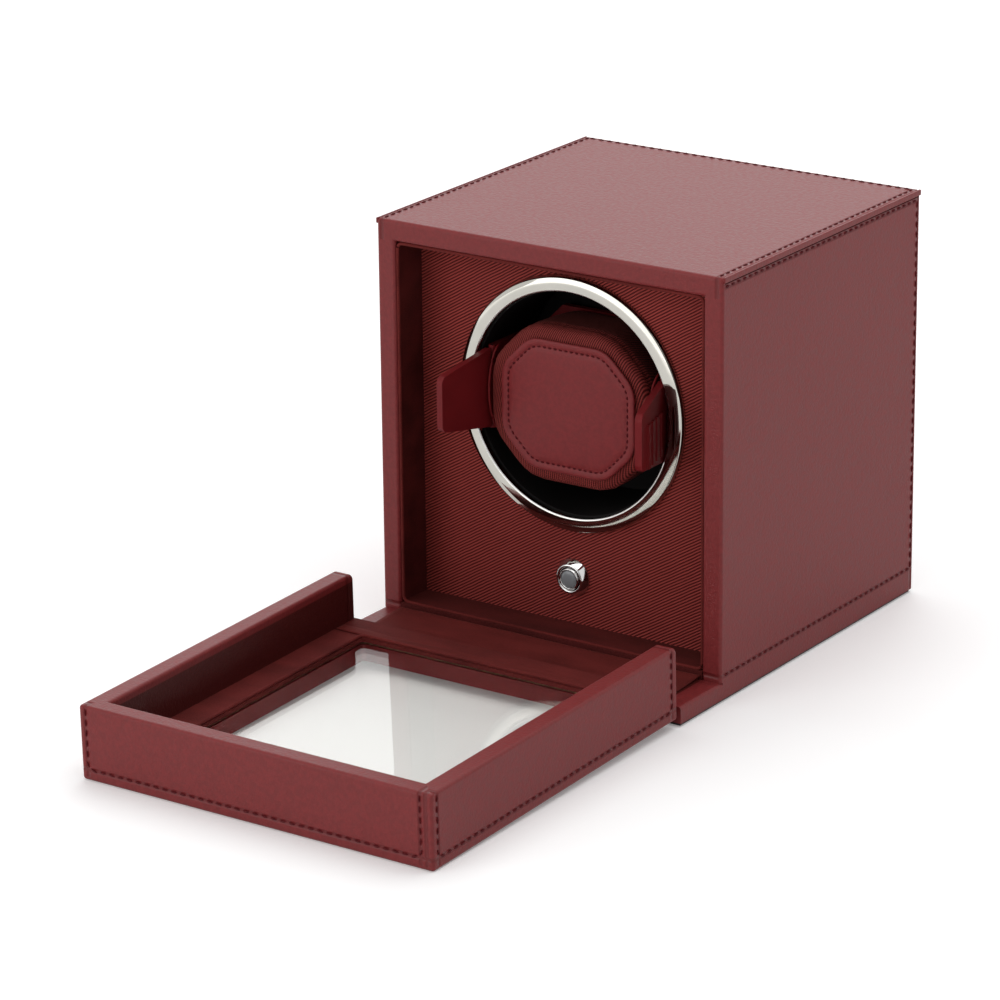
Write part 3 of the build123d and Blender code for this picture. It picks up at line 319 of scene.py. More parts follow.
def furrow(finish, places, rows, reach=1.1 * MM):
    """One near any of the sewn rows and nothing away from them; a row is (axis, place), on both sides for |x|."""
    parts = add_node(finish, "SeparateXYZ", {"Vector": places}).outputs
    near = None
    for axis, place in rows:
        value = parts["xyz".index(axis.strip("|"))]
        if axis == "|x|":
            value = sums(finish, "ABSOLUTE", value)
        away = sums(finish, "ABSOLUTE", sums(finish, "SUBTRACT", value, place))
        close = map_between(finish, away, 0.1 * MM, reach, 1.0, 0.0)
        near = close if near is None else sums(finish, "MAXIMUM", near, close)
    return near


def grained_leather(name, colour, places=plain_places, rows=(), seams=(), lined=None, roughness=0.45, grain=1.0):
    """Dyed calf leather with a fine grain, pores and soft dents, painted shade along the furrow of each row and a
    painted shadow line at a seam.
    """
    finish = new_finish(name, roughness=roughness, specular_ior_level=0.25)
    at = places(finish)
    pebbles = add_node(
        finish, "TexVoronoi", {"Vector": at, "Scale": 1250.0, "Randomness": 1.0}, feature="SMOOTH_F1",
    ).outputs["Distance"]
    pores = noise(finish, at, 2600.0, 2.0)
    creases = noise(finish, at, 620.0, 3.0, 0.55)
    dents = noise(finish, at, 40.0, 2.0)
    skin = sums(finish, "ADD", sums(finish, "MULTIPLY", pebbles, -0.8), sums(finish, "MULTIPLY", pores, 0.3))
    normal = relief(finish, dents, 1.2 * MM, 0.10)
    normal = relief(finish, creases, 0.14 * MM, 0.5 * grain, normal)
    normal = relief(finish, skin, 0.12 * MM, 0.6 * grain, normal)
    deep = toned(colour, 0.87)
    shade = blend_colours(finish, map_between(finish, creases, 0.3, 0.7), deep, toned(colour, 1.07))
    grain_and_painted_shade = blend_colours(finish, map_between(finish, pebbles, 0.25, 0.75, 0.0, 0.35), shade, deep)
    dullness = map_between(finish, creases, 0.3, 0.7, roughness - 0.04, roughness + 0.05)
    if rows:
        near = furrow(finish, at, rows)
        normal = relief(finish, sums(finish, "MULTIPLY", near, -1.0), 0.40 * MM, 0.9, normal)
        # Painted shade: the leather darkened along each sewn furrow
        grain_and_painted_shade = blend_colours(finish, sums(finish, "MULTIPLY", near, 0.5), grain_and_painted_shade, toned(colour, 0.5))
    if seams:
        meeting = furrow(finish, at, seams, 0.50 * MM)
        normal = relief(finish, sums(finish, "MULTIPLY", meeting, -1.0), 0.2 * MM, 0.5, normal)
        # Painted shadow: a near black line in the gap at each seam
        grain_and_painted_shade = blend_colours(finish, sums(finish, "MULTIPLY", meeting, 0.9), grain_and_painted_shade, SEAM_PAINTED_SHADOW)
        dullness = sums(finish, "MAXIMUM", dullness, meeting)
    if lined:
        nap = noise(finish, at, 1900.0, 3.0, 0.7)
        inside = blend_colours(finish, map_between(finish, nap, 0.3, 0.7),
                               toned(DARK_LINING, 0.75), toned(DARK_LINING, 1.25))
        grain_and_painted_shade = blend_colours(finish, lined(finish, at), grain_and_painted_shade, inside)
    feed(finish, "Base Color", grain_and_painted_shade)
    feed(finish, "Normal", normal)
    feed(finish, "Roughness", dullness)
    return finish


def below_turned_in(finish, above):
    """One below the turned-in edge of the leather on the cover's walls."""
    return map_between(finish, above, COVER_DEPTH - 5.0 * MM, COVER_DEPTH - 4.6 * MM, 1.0, 0.0)


def side_wall_lining(finish, at):
    """One on the lined inner faces of the cover's side walls."""
    across, _, above = add_node(finish, "SeparateXYZ", {"Vector": at}).outputs
    within = map_between(finish, sums(finish, "ABSOLUTE", across), OPENING + 0.05 * MM, OPENING + 0.25 * MM, 1.0, 0.0)
    return sums(finish, "MULTIPLY", within, below_turned_in(finish, above))


def end_wall_lining(finish, at):
    """One on the lined inner face of the cover's end wall."""
    _, along, above = add_node(finish, "SeparateXYZ", {"Vector": at}).outputs
    inner = -(COVER_LENGTH - RIM + HINGE_REACH)
    within = map_between(finish, along, inner - 0.25 * MM, inner - 0.05 * MM, 0.0, 1.0)
    return sums(finish, "MULTIPLY", within, below_turned_in(finish, above))


def twill(name, dark, light, direction, pitch=0.98 * MM, roughness=0.72, painted_shade_behind=None):
    """A ribbed twill: ribs square to the direction, of short slanting threads; painted shade darkens it inwards of the
    given depth.
    """
    finish = new_finish(name, roughness=roughness, sheen_weight=0.06, sheen_roughness=0.4,
                        specular_ior_level=0.16, sheen_tint=(0.8, 0.25, 0.2, 1))
    at = plain_places(finish)
    along = Vector(direction).normalized()
    waver = sums(finish, "MULTIPLY", sums(finish, "SUBTRACT", noise(finish, at, 120.0, 2.0), 0.5), 0.55 * pitch)
    across = add_node(finish, "VectorMath", {0: at, 1: along}, operation="DOT_PRODUCT").outputs["Value"]
    turn = sums(finish, "MULTIPLY", sums(finish, "ADD", across, waver), 2 * math.pi / pitch)
    rib = sums(finish, "ADD", sums(finish, "MULTIPLY", sums(finish, "SINE", turn), 0.5), 0.5)
    other = Vector((along.z, along.y + 0.5, -along.x)).normalized()
    slant = (other + along * 0.6).normalized()
    thread_run = add_node(finish, "VectorMath", {0: at, 1: slant}, operation="DOT_PRODUCT").outputs["Value"]
    thread = sums(finish, "SINE", sums(finish, "MULTIPLY", thread_run, 2 * math.pi / (0.52 * pitch)))
    fuzz = noise(finish, at, 3400.0, 2.0)
    height = sums(finish, "ADD", rib, sums(finish, "MULTIPLY", thread, 0.10))
    height = sums(finish, "ADD", height, sums(finish, "MULTIPLY", fuzz, 0.18))
    share = map_between(finish, sums(finish, "ADD", height, sums(finish, "MULTIPLY", thread, 0.06)), 0.15, 1.1)
    cloudy = map_between(finish, noise(finish, at, 26.0, 3.0), 0.3, 0.7, 0.88, 1.0)
    tone = blend_colours(finish, share, dark, light)
    tone = blend_colours(finish, cloudy, toned(dark, 0.8), tone)
    # Painted shade: the cloth fades towards near black deeper in, where the cushion's side lies inside the bore
    if painted_shade_behind is not None:
        depth = add_node(finish, "SeparateXYZ", {"Vector": at}).outputs["Y"]
        behind = map_between(finish, depth, painted_shade_behind, painted_shade_behind + 3.5 * MM, 0.0, 0.62)
        tone = blend_colours(finish, behind, tone, toned(dark, 0.12))
    feed(finish, "Base Color", tone)
    feed(finish, "Normal", relief(finish, height, 0.30 * MM, 0.75))
    return finish


def napped_lining(name, colour, places=plain_places):
    """A short napped lining, soft and nearly without shine."""
    finish = new_finish(name, roughness=0.8, sheen_weight=0.06, sheen_roughness=0.5, specular_ior_level=0.14,
                        sheen_tint=(0.75, 0.2, 0.15, 1))
    at = places(finish)
    nap = noise(finish, at, 1900.0, 3.0, 0.7)
    brushed = add_node(finish, "Mapping", {"Vector": at, "Scale": (0.35, 1.0, 1.0)}).outputs[0]
    strokes = noise(finish, brushed, 90.0, 3.0)
    patches = noise(finish, at, 38.0, 2.0)
    share = sums(finish, "ADD", sums(finish, "MULTIPLY", nap, 0.45), sums(finish, "MULTIPLY", strokes, 0.55))
    light = tuple(channel * 1.3 + 0.002 for channel in colour)
    tone = blend_colours(finish, map_between(finish, share, 0.32, 0.68), toned(colour, 0.66), light)
    feed(finish, "Base Color", tone)
    normal = relief(finish, patches, 1.2 * MM, 0.25)
    feed(finish, "Normal", relief(finish, nap, 0.12 * MM, 0.5, normal))
    return finish


def polished_metal(name, colour, roughness, scratches=0.03):
    """Polished or turned metal with faint wipe marks."""
    finish = new_finish(name, metallic=1.0, roughness=roughness)
    at = plain_places(finish)
    smudge = noise(finish, at, 120.0, 4.0, 0.6)
    drawn = add_node(finish, "Mapping", {"Vector": at, "Scale": (1.0, 1.0, 0.08)}).outputs[0]
    fine = noise(finish, drawn, 2200.0, 2.0)
    clean = map_between(finish, smudge, 0.35, 0.7)
    feed(finish, "Base Color", blend_colours(finish, clean, toned(colour, 0.94), colour))
    feed(finish, "Roughness", map_between(finish, smudge, 0.3, 0.75, roughness * 0.7, roughness * 1.5))
    feed(finish, "Normal", relief(finish, fine, 0.01 * MM, scratches))
    return finish


def moulded_plastic(name, colour, roughness, grain_scale=900.0, grain=0.3, shine=0.5):
    """Moulded plastic with a fine spark grain."""
    finish = new_finish(name, roughness=roughness, specular_ior_level=shine)
    at = plain_places(finish)
    grain_height = noise(finish, at, grain_scale, 3.0, 0.6)
    flow = noise(finish, at, 60.0, 3.0)
    tone = blend_colours(finish, map_between(finish, flow, 0.3, 0.7), toned(colour, 0.9), toned(colour, 1.08))
    feed(finish, "Base Color", tone)
    feed(finish, "Roughness", map_between(finish, flow, 0.3, 0.7, roughness - 0.04, roughness + 0.05))
    feed(finish, "Normal", relief(finish, grain_height, 0.03 * MM, grain))
    return finish


def fibreboard(name):
    """Raw fibreboard: pressed fibres, lighter and darker."""
    finish = new_finish(name, roughness=0.85, specular_ior_level=0.2)
    at = plain_places(finish)
    fibres = noise(finish, at, 900.0, 5.0, 0.7)
    clouds = noise(finish, at, 45.0, 3.0)
    shade = blend_colours(finish, map_between(finish, fibres, 0.3, 0.7), (0.30, 0.20, 0.11), (0.50, 0.36, 0.22))
    feed(finish, "Base Color", blend_colours(finish, sums(finish, "MULTIPLY", clouds, 0.3), shade, (0.38, 0.26, 0.15)))
    feed(finish, "Normal", relief(finish, fibres, 0.08 * MM, 0.5))
    return finish


def felt(name, colour):
    """Pressed wool felt with loose hairs."""
    finish = new_finish(name, roughness=0.95, sheen_weight=0.4, sheen_roughness=0.6, specular_ior_level=0.1)
    at = plain_places(finish)
    hairs = noise(finish, at, 1500.0, 5.0, 0.75)
    tone = blend_colours(finish, map_between(finish, hairs, 0.3, 0.7), toned(colour, 0.6), toned(colour, 1.6))
    feed(finish, "Base Color", tone)
    feed(finish, "Normal", relief(finish, hairs, 0.2 * MM, 0.7))
    return finish


def waxed_thread(name, colour):
    """Waxed linen thread: dull, with uneven fibres."""
    finish = new_finish(name, roughness=0.62, specular_ior_level=0.18)
    at = plain_places(finish)
    fibres = noise(finish, at, 2400.0, 3.0, 0.7)
    tone = blend_colours(finish, map_between(finish, fibres, 0.3, 0.7), toned(colour, 0.65), toned(colour, 1.4))
    feed(finish, "Base Color", tone)
    feed(finish, "Normal", relief(finish, fibres, 0.1 * MM, 0.6))
    return finish


def window_glass(name):
    """Clear window glass, faintly marked by wiping."""
    finish = new_finish(name, roughness=0.0, transmission_weight=1.0, ior=1.22, base_color=(0.83, 0.83, 0.813, 1))
    at = plain_places(finish)
    marks = noise(finish, at, 30.0, 3.0)
    feed(finish, "Roughness", map_between(finish, marks, 0.45, 0.8, 0.0, 0.03))
    return finish


RED_LEATHER = (0.180, 0.0205, 0.0215)
DARK_LINING = (0.060, 0.0065, 0.0058)
# Colour of the painted shadow line at the seams
SEAM_PAINTED_SHADOW = (0.026, 0.0008, 0.0008)
case_leather = grained_leather("case_leather", RED_LEATHER)
cover_leather = grained_leather("cover_leather", RED_LEATHER, cover_places)
cover_end_finish = grained_leather(
    "cover_end_leather_finish", RED_LEATHER, cover_places,
    rows=(("z", LOW_ROW - FACE_INSET), ("x", SIDE - END_ROW_RIGHT), ("x", END_ROW_LEFT - SIDE),
          ("x", SIDE - 2.4 * MM)),
    lined=end_wall_lining,
)
cover_side_finish = grained_leather(
    "cover_side_leather_finish", RED_LEATHER, cover_places,
    rows=(("z", LOW_ROW - FACE_INSET), ("y", -(COVER_LENGTH - SIDE_ROW_FRONT + HINGE_REACH)),
          ("y", -(SIDE_ROW_BACK + HINGE_REACH))),
    lined=side_wall_lining,
)
lining = napped_lining("napped_red_lining", (0.108, 0.0118, 0.0102))
dark_lining = napped_lining("napped_dark_lining", (0.066, 0.0062, 0.0056))
cover_lining_finish = napped_lining("napped_cover_lining", (0.102, 0.0112, 0.0100), cover_places)
FASCIA_SLANT, CUFF_SLANT = math.radians(30.6), math.radians(14)
fascia_twill = twill("fascia_twill", (0.058, 0.0034, 0.0034), (0.360, 0.052, 0.043),
                     (-math.sin(FASCIA_SLANT), 0, math.cos(FASCIA_SLANT)))
# The cushion's twill gets painted shade behind its side seam
cuff_twill = twill("cuff_twill", (0.056, 0.0038, 0.0038), (0.290, 0.042, 0.036),
                   (-math.cos(CUFF_SLANT), 0.25, math.sin(CUFF_SLANT)), pitch=0.80 * MM,
                   painted_shade_behind=FRONT + 16.6 * MM)
cuff_leather = grained_leather("cuff_leather", (0.190, 0.0190, 0.0210), roughness=0.5, grain=0.45)
ring_metal = polished_metal("ring_metal", (0.515, 0.500, 0.455), 0.06)
ring_satin = polished_metal("ring_satin_edge", (0.86, 0.85, 0.83), 0.34, 0.15)
button_chrome = polished_metal("button_chrome", (0.66, 0.66, 0.65), 0.05)
steel = polished_metal("zinc_steel", (0.55, 0.55, 0.56), 0.3, 0.2)
brass = polished_metal("turned_brass", (0.72, 0.52, 0.22), 0.22, 0.15)
magnet = polished_metal("nickel_magnet", (0.6, 0.59, 0.56), 0.25, 0.1)
black_plastic = moulded_plastic("black_plastic", (0.018, 0.018, 0.019), 0.5)
# Black plastic for the drum cup, made darker than the other black plastic as painted shade inside the bore
cup_plastic_with_painted_shade = moulded_plastic("cup_plastic_with_painted_shade", (0.0045, 0.0032, 0.0032), 0.72, shine=0.2)
gear_plastic = moulded_plastic("gear_plastic", (0.62, 0.61, 0.57), 0.45)
wing_plastic = moulded_plastic("wing_plastic", (0.155, 0.0085, 0.0108), 0.50, 1400.0, 0.12, shine=0.16)
lens_plastic = moulded_plastic("lens_plastic", (0.20, 0.21, 0.22), 0.18, 400.0, 0.05)
circuit_green = moulded_plastic("circuit_green", (0.012, 0.085, 0.035), 0.35)
board_finish = fibreboard("raw_fibreboard")
base_felt = felt("base_felt", (0.012, 0.011, 0.011))
clear_glass = window_glass("clear_glass")
thread = waxed_thread("waxed_thread", (0.078, 0.0028, 0.0052))

back_sewing = ("y", BACK - ROW_INSET)
wall_sewing = (back_sewing, ("z", SIDE_HIGH_ROW), ("z", SIDE_LOW_ROW))
# The seam under the turned-down top edge gets a painted shadow line
under_edge = (("z", TOP - TURNED_EDGE - 0.35 * MM),)
panel_sewing = {
    "case_top_leather": ((("|x|", SIDE - ROW_INSET), back_sewing), ()),
    "case_right_leather": (wall_sewing, under_edge),
    "case_left_leather": (wall_sewing, under_edge),
    "case_back_leather": ((("|x|", 66.2 * MM),), ()),
}
node_finishes = [
    (base_felt, ["base_pad"]),
    (board_finish, ["base_board", "case_left_board", "case_right_board", "case_top_board", "case_back_board",
                    "fascia_panel", "cover_panel", "cover_side_boards", "cover_end_board"]),
    (magnet, ["case_magnets", "cover_magnets"]),
    (case_leather, ["ledge_leather"]),
    (cover_leather, ["cover_face_leather"]),
    (cover_end_finish, ["cover_end_leather"]),
    (cover_side_finish, ["cover_side_leathers"]),
    (lining, ["ledge_lining", "hinge_leather_base"]),
    (dark_lining, ["recess_floor", "recess_side_liners", "recess_top_liner"]),
    (cover_lining_finish, ["cover_lining", "hinge_leather_cover", "window_piping"]),
    (fascia_twill, ["fascia_fabric"]),
    (black_plastic, ["drum_housing", "board_posts", "push_switch", "rear_cover", "power_socket"]),
    (cup_plastic_with_painted_shade, ["drum_cup"]),
    (steel, ["housing_screws", "drum_axle", "gear_motor", "motor_screws", "motor_shaft", "circuit_screws",
             "button_nut", "wing_pins", "rear_cover_screws"]),
    (brass, ["motor_pinion", "drum_bush"]),
    (gear_plastic, ["drum_gear"]),
    (circuit_green, ["circuit_board"]),
    (clear_glass, ["cover_glass"]),
    (wing_plastic, ["cuff_frame", "cuff_left_wing", "cuff_right_wing"]),
    (ring_metal, ["ring_bezel"]),
    (button_chrome, ["button_bezel"]),
    (lens_plastic, ["button_cap"]),
]
for panel, (rows, seams) in panel_sewing.items():
    node_finishes.append((grained_leather(f"{panel}_finish", RED_LEATHER, rows=rows, seams=seams), [panel]))
for finish, nodes in node_finishes:
    for node in nodes:
        slots = frame["nodes"][node].data.materials
        slots.clear()
        slots.append(finish)


# Stitches, sewn along paths by one node tree

def stitch_of(name, length, width, rise):
    """One stitch lying along x, its ends sinking into the leather."""
    rings = []
    for step in range(5):
        t = step / 4 * 2 - 1
        radius = width / 2 * (1 - 0.55 * t * t)
        height = rise * (1 - t * t) - width * 0.28 * t * t
        rings.append([
            Vector((t * length / 2, radius * math.cos(turn), height + radius * 0.8 * math.sin(turn)))
            for turn in (math.pi * k / 3 for k in range(6))
        ])
    stitch = rings_to_piece(name, rings)
    stitch.data.materials.append(thread)
    return stitch


def sewing_tree():
    """Path in, stitches out: spacing, stitch and thread are its inputs."""
    tree = bpy.data.node_groups.new("sewn_row", "GeometryNodeTree")
    face = tree.interface
    face.new_socket("Path", in_out="INPUT", socket_type="NodeSocketGeometry")
    face.new_socket("Stitch spacing", in_out="INPUT", socket_type="NodeSocketFloat")
    face.new_socket("Stitch", in_out="INPUT", socket_type="NodeSocketObject")
    face.new_socket("Thread", in_out="INPUT", socket_type="NodeSocketMaterial")
    face.new_socket("Unevenness", in_out="INPUT", socket_type="NodeSocketFloat")
    face.new_socket("Sewn", in_out="OUTPUT", socket_type="NodeSocketGeometry")
    nodes, link = tree.nodes, tree.links.new
    given = nodes.new("NodeGroupInput")
    result = nodes.new("NodeGroupOutput")
    curve = nodes.new("GeometryNodeMeshToCurve")
    spaced = nodes.new("GeometryNodeResampleCurve")
    spaced.mode = "LENGTH"
    tangent = nodes.new("GeometryNodeInputTangent")
    outward = nodes.new("GeometryNodeInputNamedAttribute")
    outward.data_type = "FLOAT_VECTOR"
    outward.inputs["Name"].default_value = "outward"
    lie = nodes.new("FunctionNodeAlignRotationToVector")
    lie.axis = "X"
    stand = nodes.new("FunctionNodeAlignRotationToVector")
    stand.axis, stand.pivot_axis = "Z", "X"
    wobble = nodes.new("FunctionNodeRandomValue")
    wobble.data_type = "FLOAT"
    wobble.inputs["Seed"].default_value = 7
    opposite = nodes.new("ShaderNodeMath")
    opposite.operation = "MULTIPLY"
    opposite.inputs[1].default_value = -1.0
    lean = nodes.new("FunctionNodeAxisAngleToRotation")
    lean.inputs["Axis"].default_value = (0, 0, 1)
    turned_by = nodes.new("FunctionNodeRotateRotation")
    turned_by.rotation_space = "LOCAL"
    sew = nodes.new("GeometryNodeInstanceOnPoints")
    info = nodes.new("GeometryNodeObjectInfo")
    whole = nodes.new("GeometryNodeRealizeInstances")
    painted = nodes.new("GeometryNodeSetMaterial")
    link(given.outputs["Path"], curve.inputs["Mesh"])
    link(curve.outputs["Curve"], spaced.inputs["Curve"])
    link(given.outputs["Stitch spacing"], spaced.inputs["Length"])
    link(tangent.outputs["Tangent"], lie.inputs["Vector"])
    link(lie.outputs["Rotation"], stand.inputs["Rotation"])
    link(outward.outputs["Attribute"], stand.inputs["Vector"])
    link(given.outputs["Unevenness"], opposite.inputs[0])
    link(opposite.outputs[0], wobble.inputs["Min"])
    link(given.outputs["Unevenness"], wobble.inputs["Max"])
    link(wobble.outputs[1], lean.inputs["Angle"])
    link(stand.outputs["Rotation"], turned_by.inputs["Rotation"])
    link(lean.outputs["Rotation"], turned_by.inputs["Rotate By"])
    link(given.outputs["Stitch"], info.inputs["Object"])
    link(spaced.outputs["Curve"], sew.inputs["Points"])
    link(info.outputs["Geometry"], sew.inputs["Instance"])
    link(turned_by.outputs["Rotation"], sew.inputs["Rotation"])
    link(sew.outputs["Instances"], whole.inputs["Geometry"])
    link(whole.outputs["Geometry"], painted.inputs["Geometry"])
    link(given.outputs["Thread"], painted.inputs["Material"])
    link(painted.outputs["Geometry"], result.inputs["Sewn"])
    return tree


sewing = sewing_tree()


def sewn(name, rows, stitch, spacing, body):
    """Stitches along rows of (points, outward direction), made one plain mesh that rides on a body."""
    points, edges, outward = [], [], []
    for row, facing in rows:
        first = len(points)
        points.extend(row)
        outward.extend([facing] * len(row))
        edges.extend((index, index + 1) for index in range(first, len(points) - 1))
    mesh = bpy.data.meshes.new(name)
    mesh.from_pydata([tuple(point) for point in points], edges, [])
    held = mesh.attributes.new("outward", "FLOAT_VECTOR", "POINT")
    held.data.foreach_set("vector", [value for vector in outward for value in vector])
    path = bpy.data.objects.new(f"{name}_path", mesh)
    bpy.context.scene.collection.objects.link(path)
    modifier = path.modifiers.new("sewing", "NODES")
    modifier.node_group = sewing
    given = {item.name: item.identifier for item in sewing.interface.items_tree if item.in_out == "INPUT"}
    modifier[given["Stitch spacing"]] = spacing
    modifier[given["Stitch"]] = stitch
    modifier[given["Thread"]] = thread
    modifier[given["Unevenness"]] = math.radians(6)
    graph = bpy.context.evaluated_depsgraph_get()
    result = bpy.data.meshes.new_from_object(path.evaluated_get(graph), depsgraph=graph)
    bpy.data.objects.remove(path)
    piece = bpy.data.objects.new(name, result)
    bpy.context.scene.collection.objects.link(piece)
    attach(piece, body)


def straight(start, end, out):
    return [Vector(start), Vector(end)], Vector(out)


case_stitch = stitch_of("case_stitch", 2.9 * MM, 0.72 * MM, 0.16 * MM)
side_row = SIDE - ROW_INSET
back_row = BACK - ROW_INSET
case_sewing = [
    straight((-side_row, FRONT + 3 * MM, TOP), (-side_row, back_row - 1 * MM, TOP), (0, 0, 1)),
    straight((side_row, FRONT + 3 * MM, TOP), (side_row, back_row - 1 * MM, TOP), (0, 0, 1)),
    straight((-side_row + 2 * MM, back_row, TOP), (side_row - 2 * MM, back_row, TOP), (0, 0, 1)),
]
for side in (-1, 1):
    wall = side * SIDE
    row_end = back_row - 2 * MM
    for start, end in (
        ((wall, FRONT + 3 * MM, SIDE_HIGH_ROW), (wall, row_end, SIDE_HIGH_ROW)),
        ((wall, back_row, TOP - 5 * MM), (wall, back_row, 11 * MM)),
        ((wall, FRONT + 4 * MM, SIDE_LOW_ROW), (wall, row_end, SIDE_LOW_ROW)),
    ):
        case_sewing.append(straight(start, end, (side, 0, 0)))
sewn("case_stitches", case_sewing, case_stitch, CASE_SPACING, "case")

# The top leather's edges, turned down over both sides: how far they reach in and out of the wall, and their upper side
EDGE_IN, EDGE_OUT, EDGE_TOP = 0.3 * MM, 0.42 * MM, -0.02 * MM
section = rounded_profile(
    [(-EDGE_IN, EDGE_TOP), (EDGE_OUT, EDGE_TOP), (EDGE_OUT, -TURNED_EDGE), (-EDGE_IN, -TURNED_EDGE)],
    [0.05 * MM, 0.38 * MM, 0.16 * MM, 0.05 * MM],
)
for side, name in ((-1, "left_turned_edge"), (1, "right_turned_edge")):
    rings = [
        [Vector((side * (SIDE + point.x), place, TOP + point.y)) for point in section]
        for place in (FRONT + 0.35 * MM, FRONT + 1.2 * MM, BACK - 1.2 * MM, BACK - 0.35 * MM)
    ]
    edge = rings_to_piece(name, rings)
    edge.data.materials.append(case_leather)
    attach(edge, "case")

cover_out = (on_cover(0, 1, 0) - on_cover(0, 0, 0)).normalized()


def turning_row(corners, out):
    """A row of stitches through corners that it rounds."""
    path = [corners[0]]
    for before, here, after in zip(corners, corners[1:], corners[2:]):
        path.extend(rounded_corner(before, here, after, CORNER_TURN, 2))
    path.append(corners[-1])
    return path, out


cover_sewing = [turning_row([
    on_cover(END_ROW_LEFT - SIDE, COVER_LENGTH, HIGH_ROW), on_cover(END_ROW_LEFT - SIDE, COVER_LENGTH, LOW_ROW),
    on_cover(SIDE - END_ROW_RIGHT, COVER_LENGTH, LOW_ROW), on_cover(SIDE - END_ROW_RIGHT, COVER_LENGTH, HIGH_ROW),
], cover_out)]
for side in (-1, 1):
    wall = side * SIDE
    cover_sewing.append(turning_row([
        on_cover(wall, COVER_LENGTH - SIDE_ROW_FRONT, HIGH_ROW), on_cover(wall, COVER_LENGTH - SIDE_ROW_FRONT, LOW_ROW),
        on_cover(wall, SIDE_ROW_BACK, LOW_ROW), on_cover(wall, SIDE_ROW_BACK, HIGH_ROW),
    ], Vector((side, 0, 0))))
sewn("cover_stitches", cover_sewing, case_stitch, CASE_SPACING, "cover")


# Ring and button

def mm(*pairs):
    """Pairs of (radius, depth behind the front), given in millimetres."""
    return [(a * MM, b * MM) for a, b in pairs]


ring = closed_turning(
    "polished_ring", AXIS,
    mm((40.5, 16.0), (40.5, 13.95), (40.95, 13.6), (43.6, 13.6), (45.4, 14.1), (46.0, 15.2), (46.0, 16.0), (43.2, 16.0),
       (43.2, 20.6), (42.2, 20.6), (42.2, 16.0)),
    [0.1 * MM, 0.2 * MM, 0.2 * MM, 0.8 * MM, 0.35 * MM, 0.2 * MM, 0.1 * MM, 0.1 * MM, 0.1 * MM, 0.1 * MM, 0.1 * MM],
    256,
)
ring.data.materials.append(ring_metal)
ring.data.materials.append(ring_satin)
SATIN_RADIUS, SATIN_DEPTH = 41.0 * MM, 14.0 * MM
for face in ring.data.polygons:
    from_axis = math.hypot(face.center.x - AXIS.x, face.center.z - AXIS.z)
    if from_axis < SATIN_RADIUS and face.center.y < FRONT + SATIN_DEPTH:
        face.material_index = 1
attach(ring, "case")
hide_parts("ring_bezel")

bezel = closed_turning(
    "button_rim", BUTTON,
    mm((4.1, 15.8), (4.1, 13.6), (4.6, 13.0), (5.2, 13.1), (6.8, 15.6), (6.8, 16.0), (6.0, 16.0), (6.0, 24.0),
       (4.9, 24.0), (4.9, 15.8)),
    [0.1 * MM, 0.3 * MM, 0.35 * MM, 0.5 * MM, 0.3 * MM, 0.1 * MM, 0.1 * MM, 0.1 * MM, 0.1 * MM, 0.1 * MM], 96,
)
bezel.data.materials.append(button_chrome)
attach(bezel, "case")
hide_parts("button_bezel")

collar = closed_turning(
    "button_collar", BUTTON,
    mm((3.15, 14.4), (3.15, 13.1), (3.35, 12.75), (3.7, 12.8), (4.0, 13.3), (4.0, 16.0), (3.4, 16.0), (3.4, 14.4)),
    0.12 * MM, 96,
)
collar.data.materials.append(button_chrome)
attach(collar, "button")

lens_profile = mm((0.6, 12.52), (1.4, 12.58), (2.2, 12.72), (2.8, 12.9), (3.1, 13.1), (3.12, 14.4), (3.38, 14.5),
                  (3.38, 16.0), (4.7, 16.0), (4.7, 17.2), (1.8, 17.2), (1.8, 22.1))
lens = rings_to_piece("button_lens", turned(BUTTON, lens_profile, 64))
lens.data.materials.append(lens_plastic)
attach(lens, "button")
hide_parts("button_cap")


# Cuff: cushion, leather patch, its stitches and the welts at the arms

def cuff_ring(width, height, corner, rounding, depth, shift):
    return [
        Vector((AXIS.x + shift[0] + point.x, FRONT + depth, AXIS.z + shift[1] + point.y))
        for point in octagon(width, height, corner, rounding)
    ]


def cuff_rings(profile, size, corner, roundings, shift):
    """Octagonal rings from a profile of (depth, inset) in mm; roundings: the largest, its loss per inset, the least."""
    widest, loss, least = roundings
    return [
        cuff_ring((size[0] - 2 * inset) * MM, (size[1] - 2 * inset) * MM, (corner - CUT_LOSS * inset) * MM,
                  max(widest - inset * loss, least) * MM, depth * MM, shift)
        for depth, inset in profile
    ]


# What a cut corner loses when every side moves in by one: 2 - sqrt(2)
CUT_LOSS = 0.5858
SEAM_DEPTH = 17.6 * MM
PATCH_BACK = 12.0 * MM
HELD_BACK = 36 * MM
FILLING_FRAMES = 20
FILLING_PRESSURE = 4.0
CUSHION_SIZE = (65.0, 56.9)
CUSHION_SHIFT = (0.0, -0.8 * MM)
PATCH_SIZE = (54.4, 47.2)
PATCH_SHIFT = (1.1 * MM, -0.4 * MM)


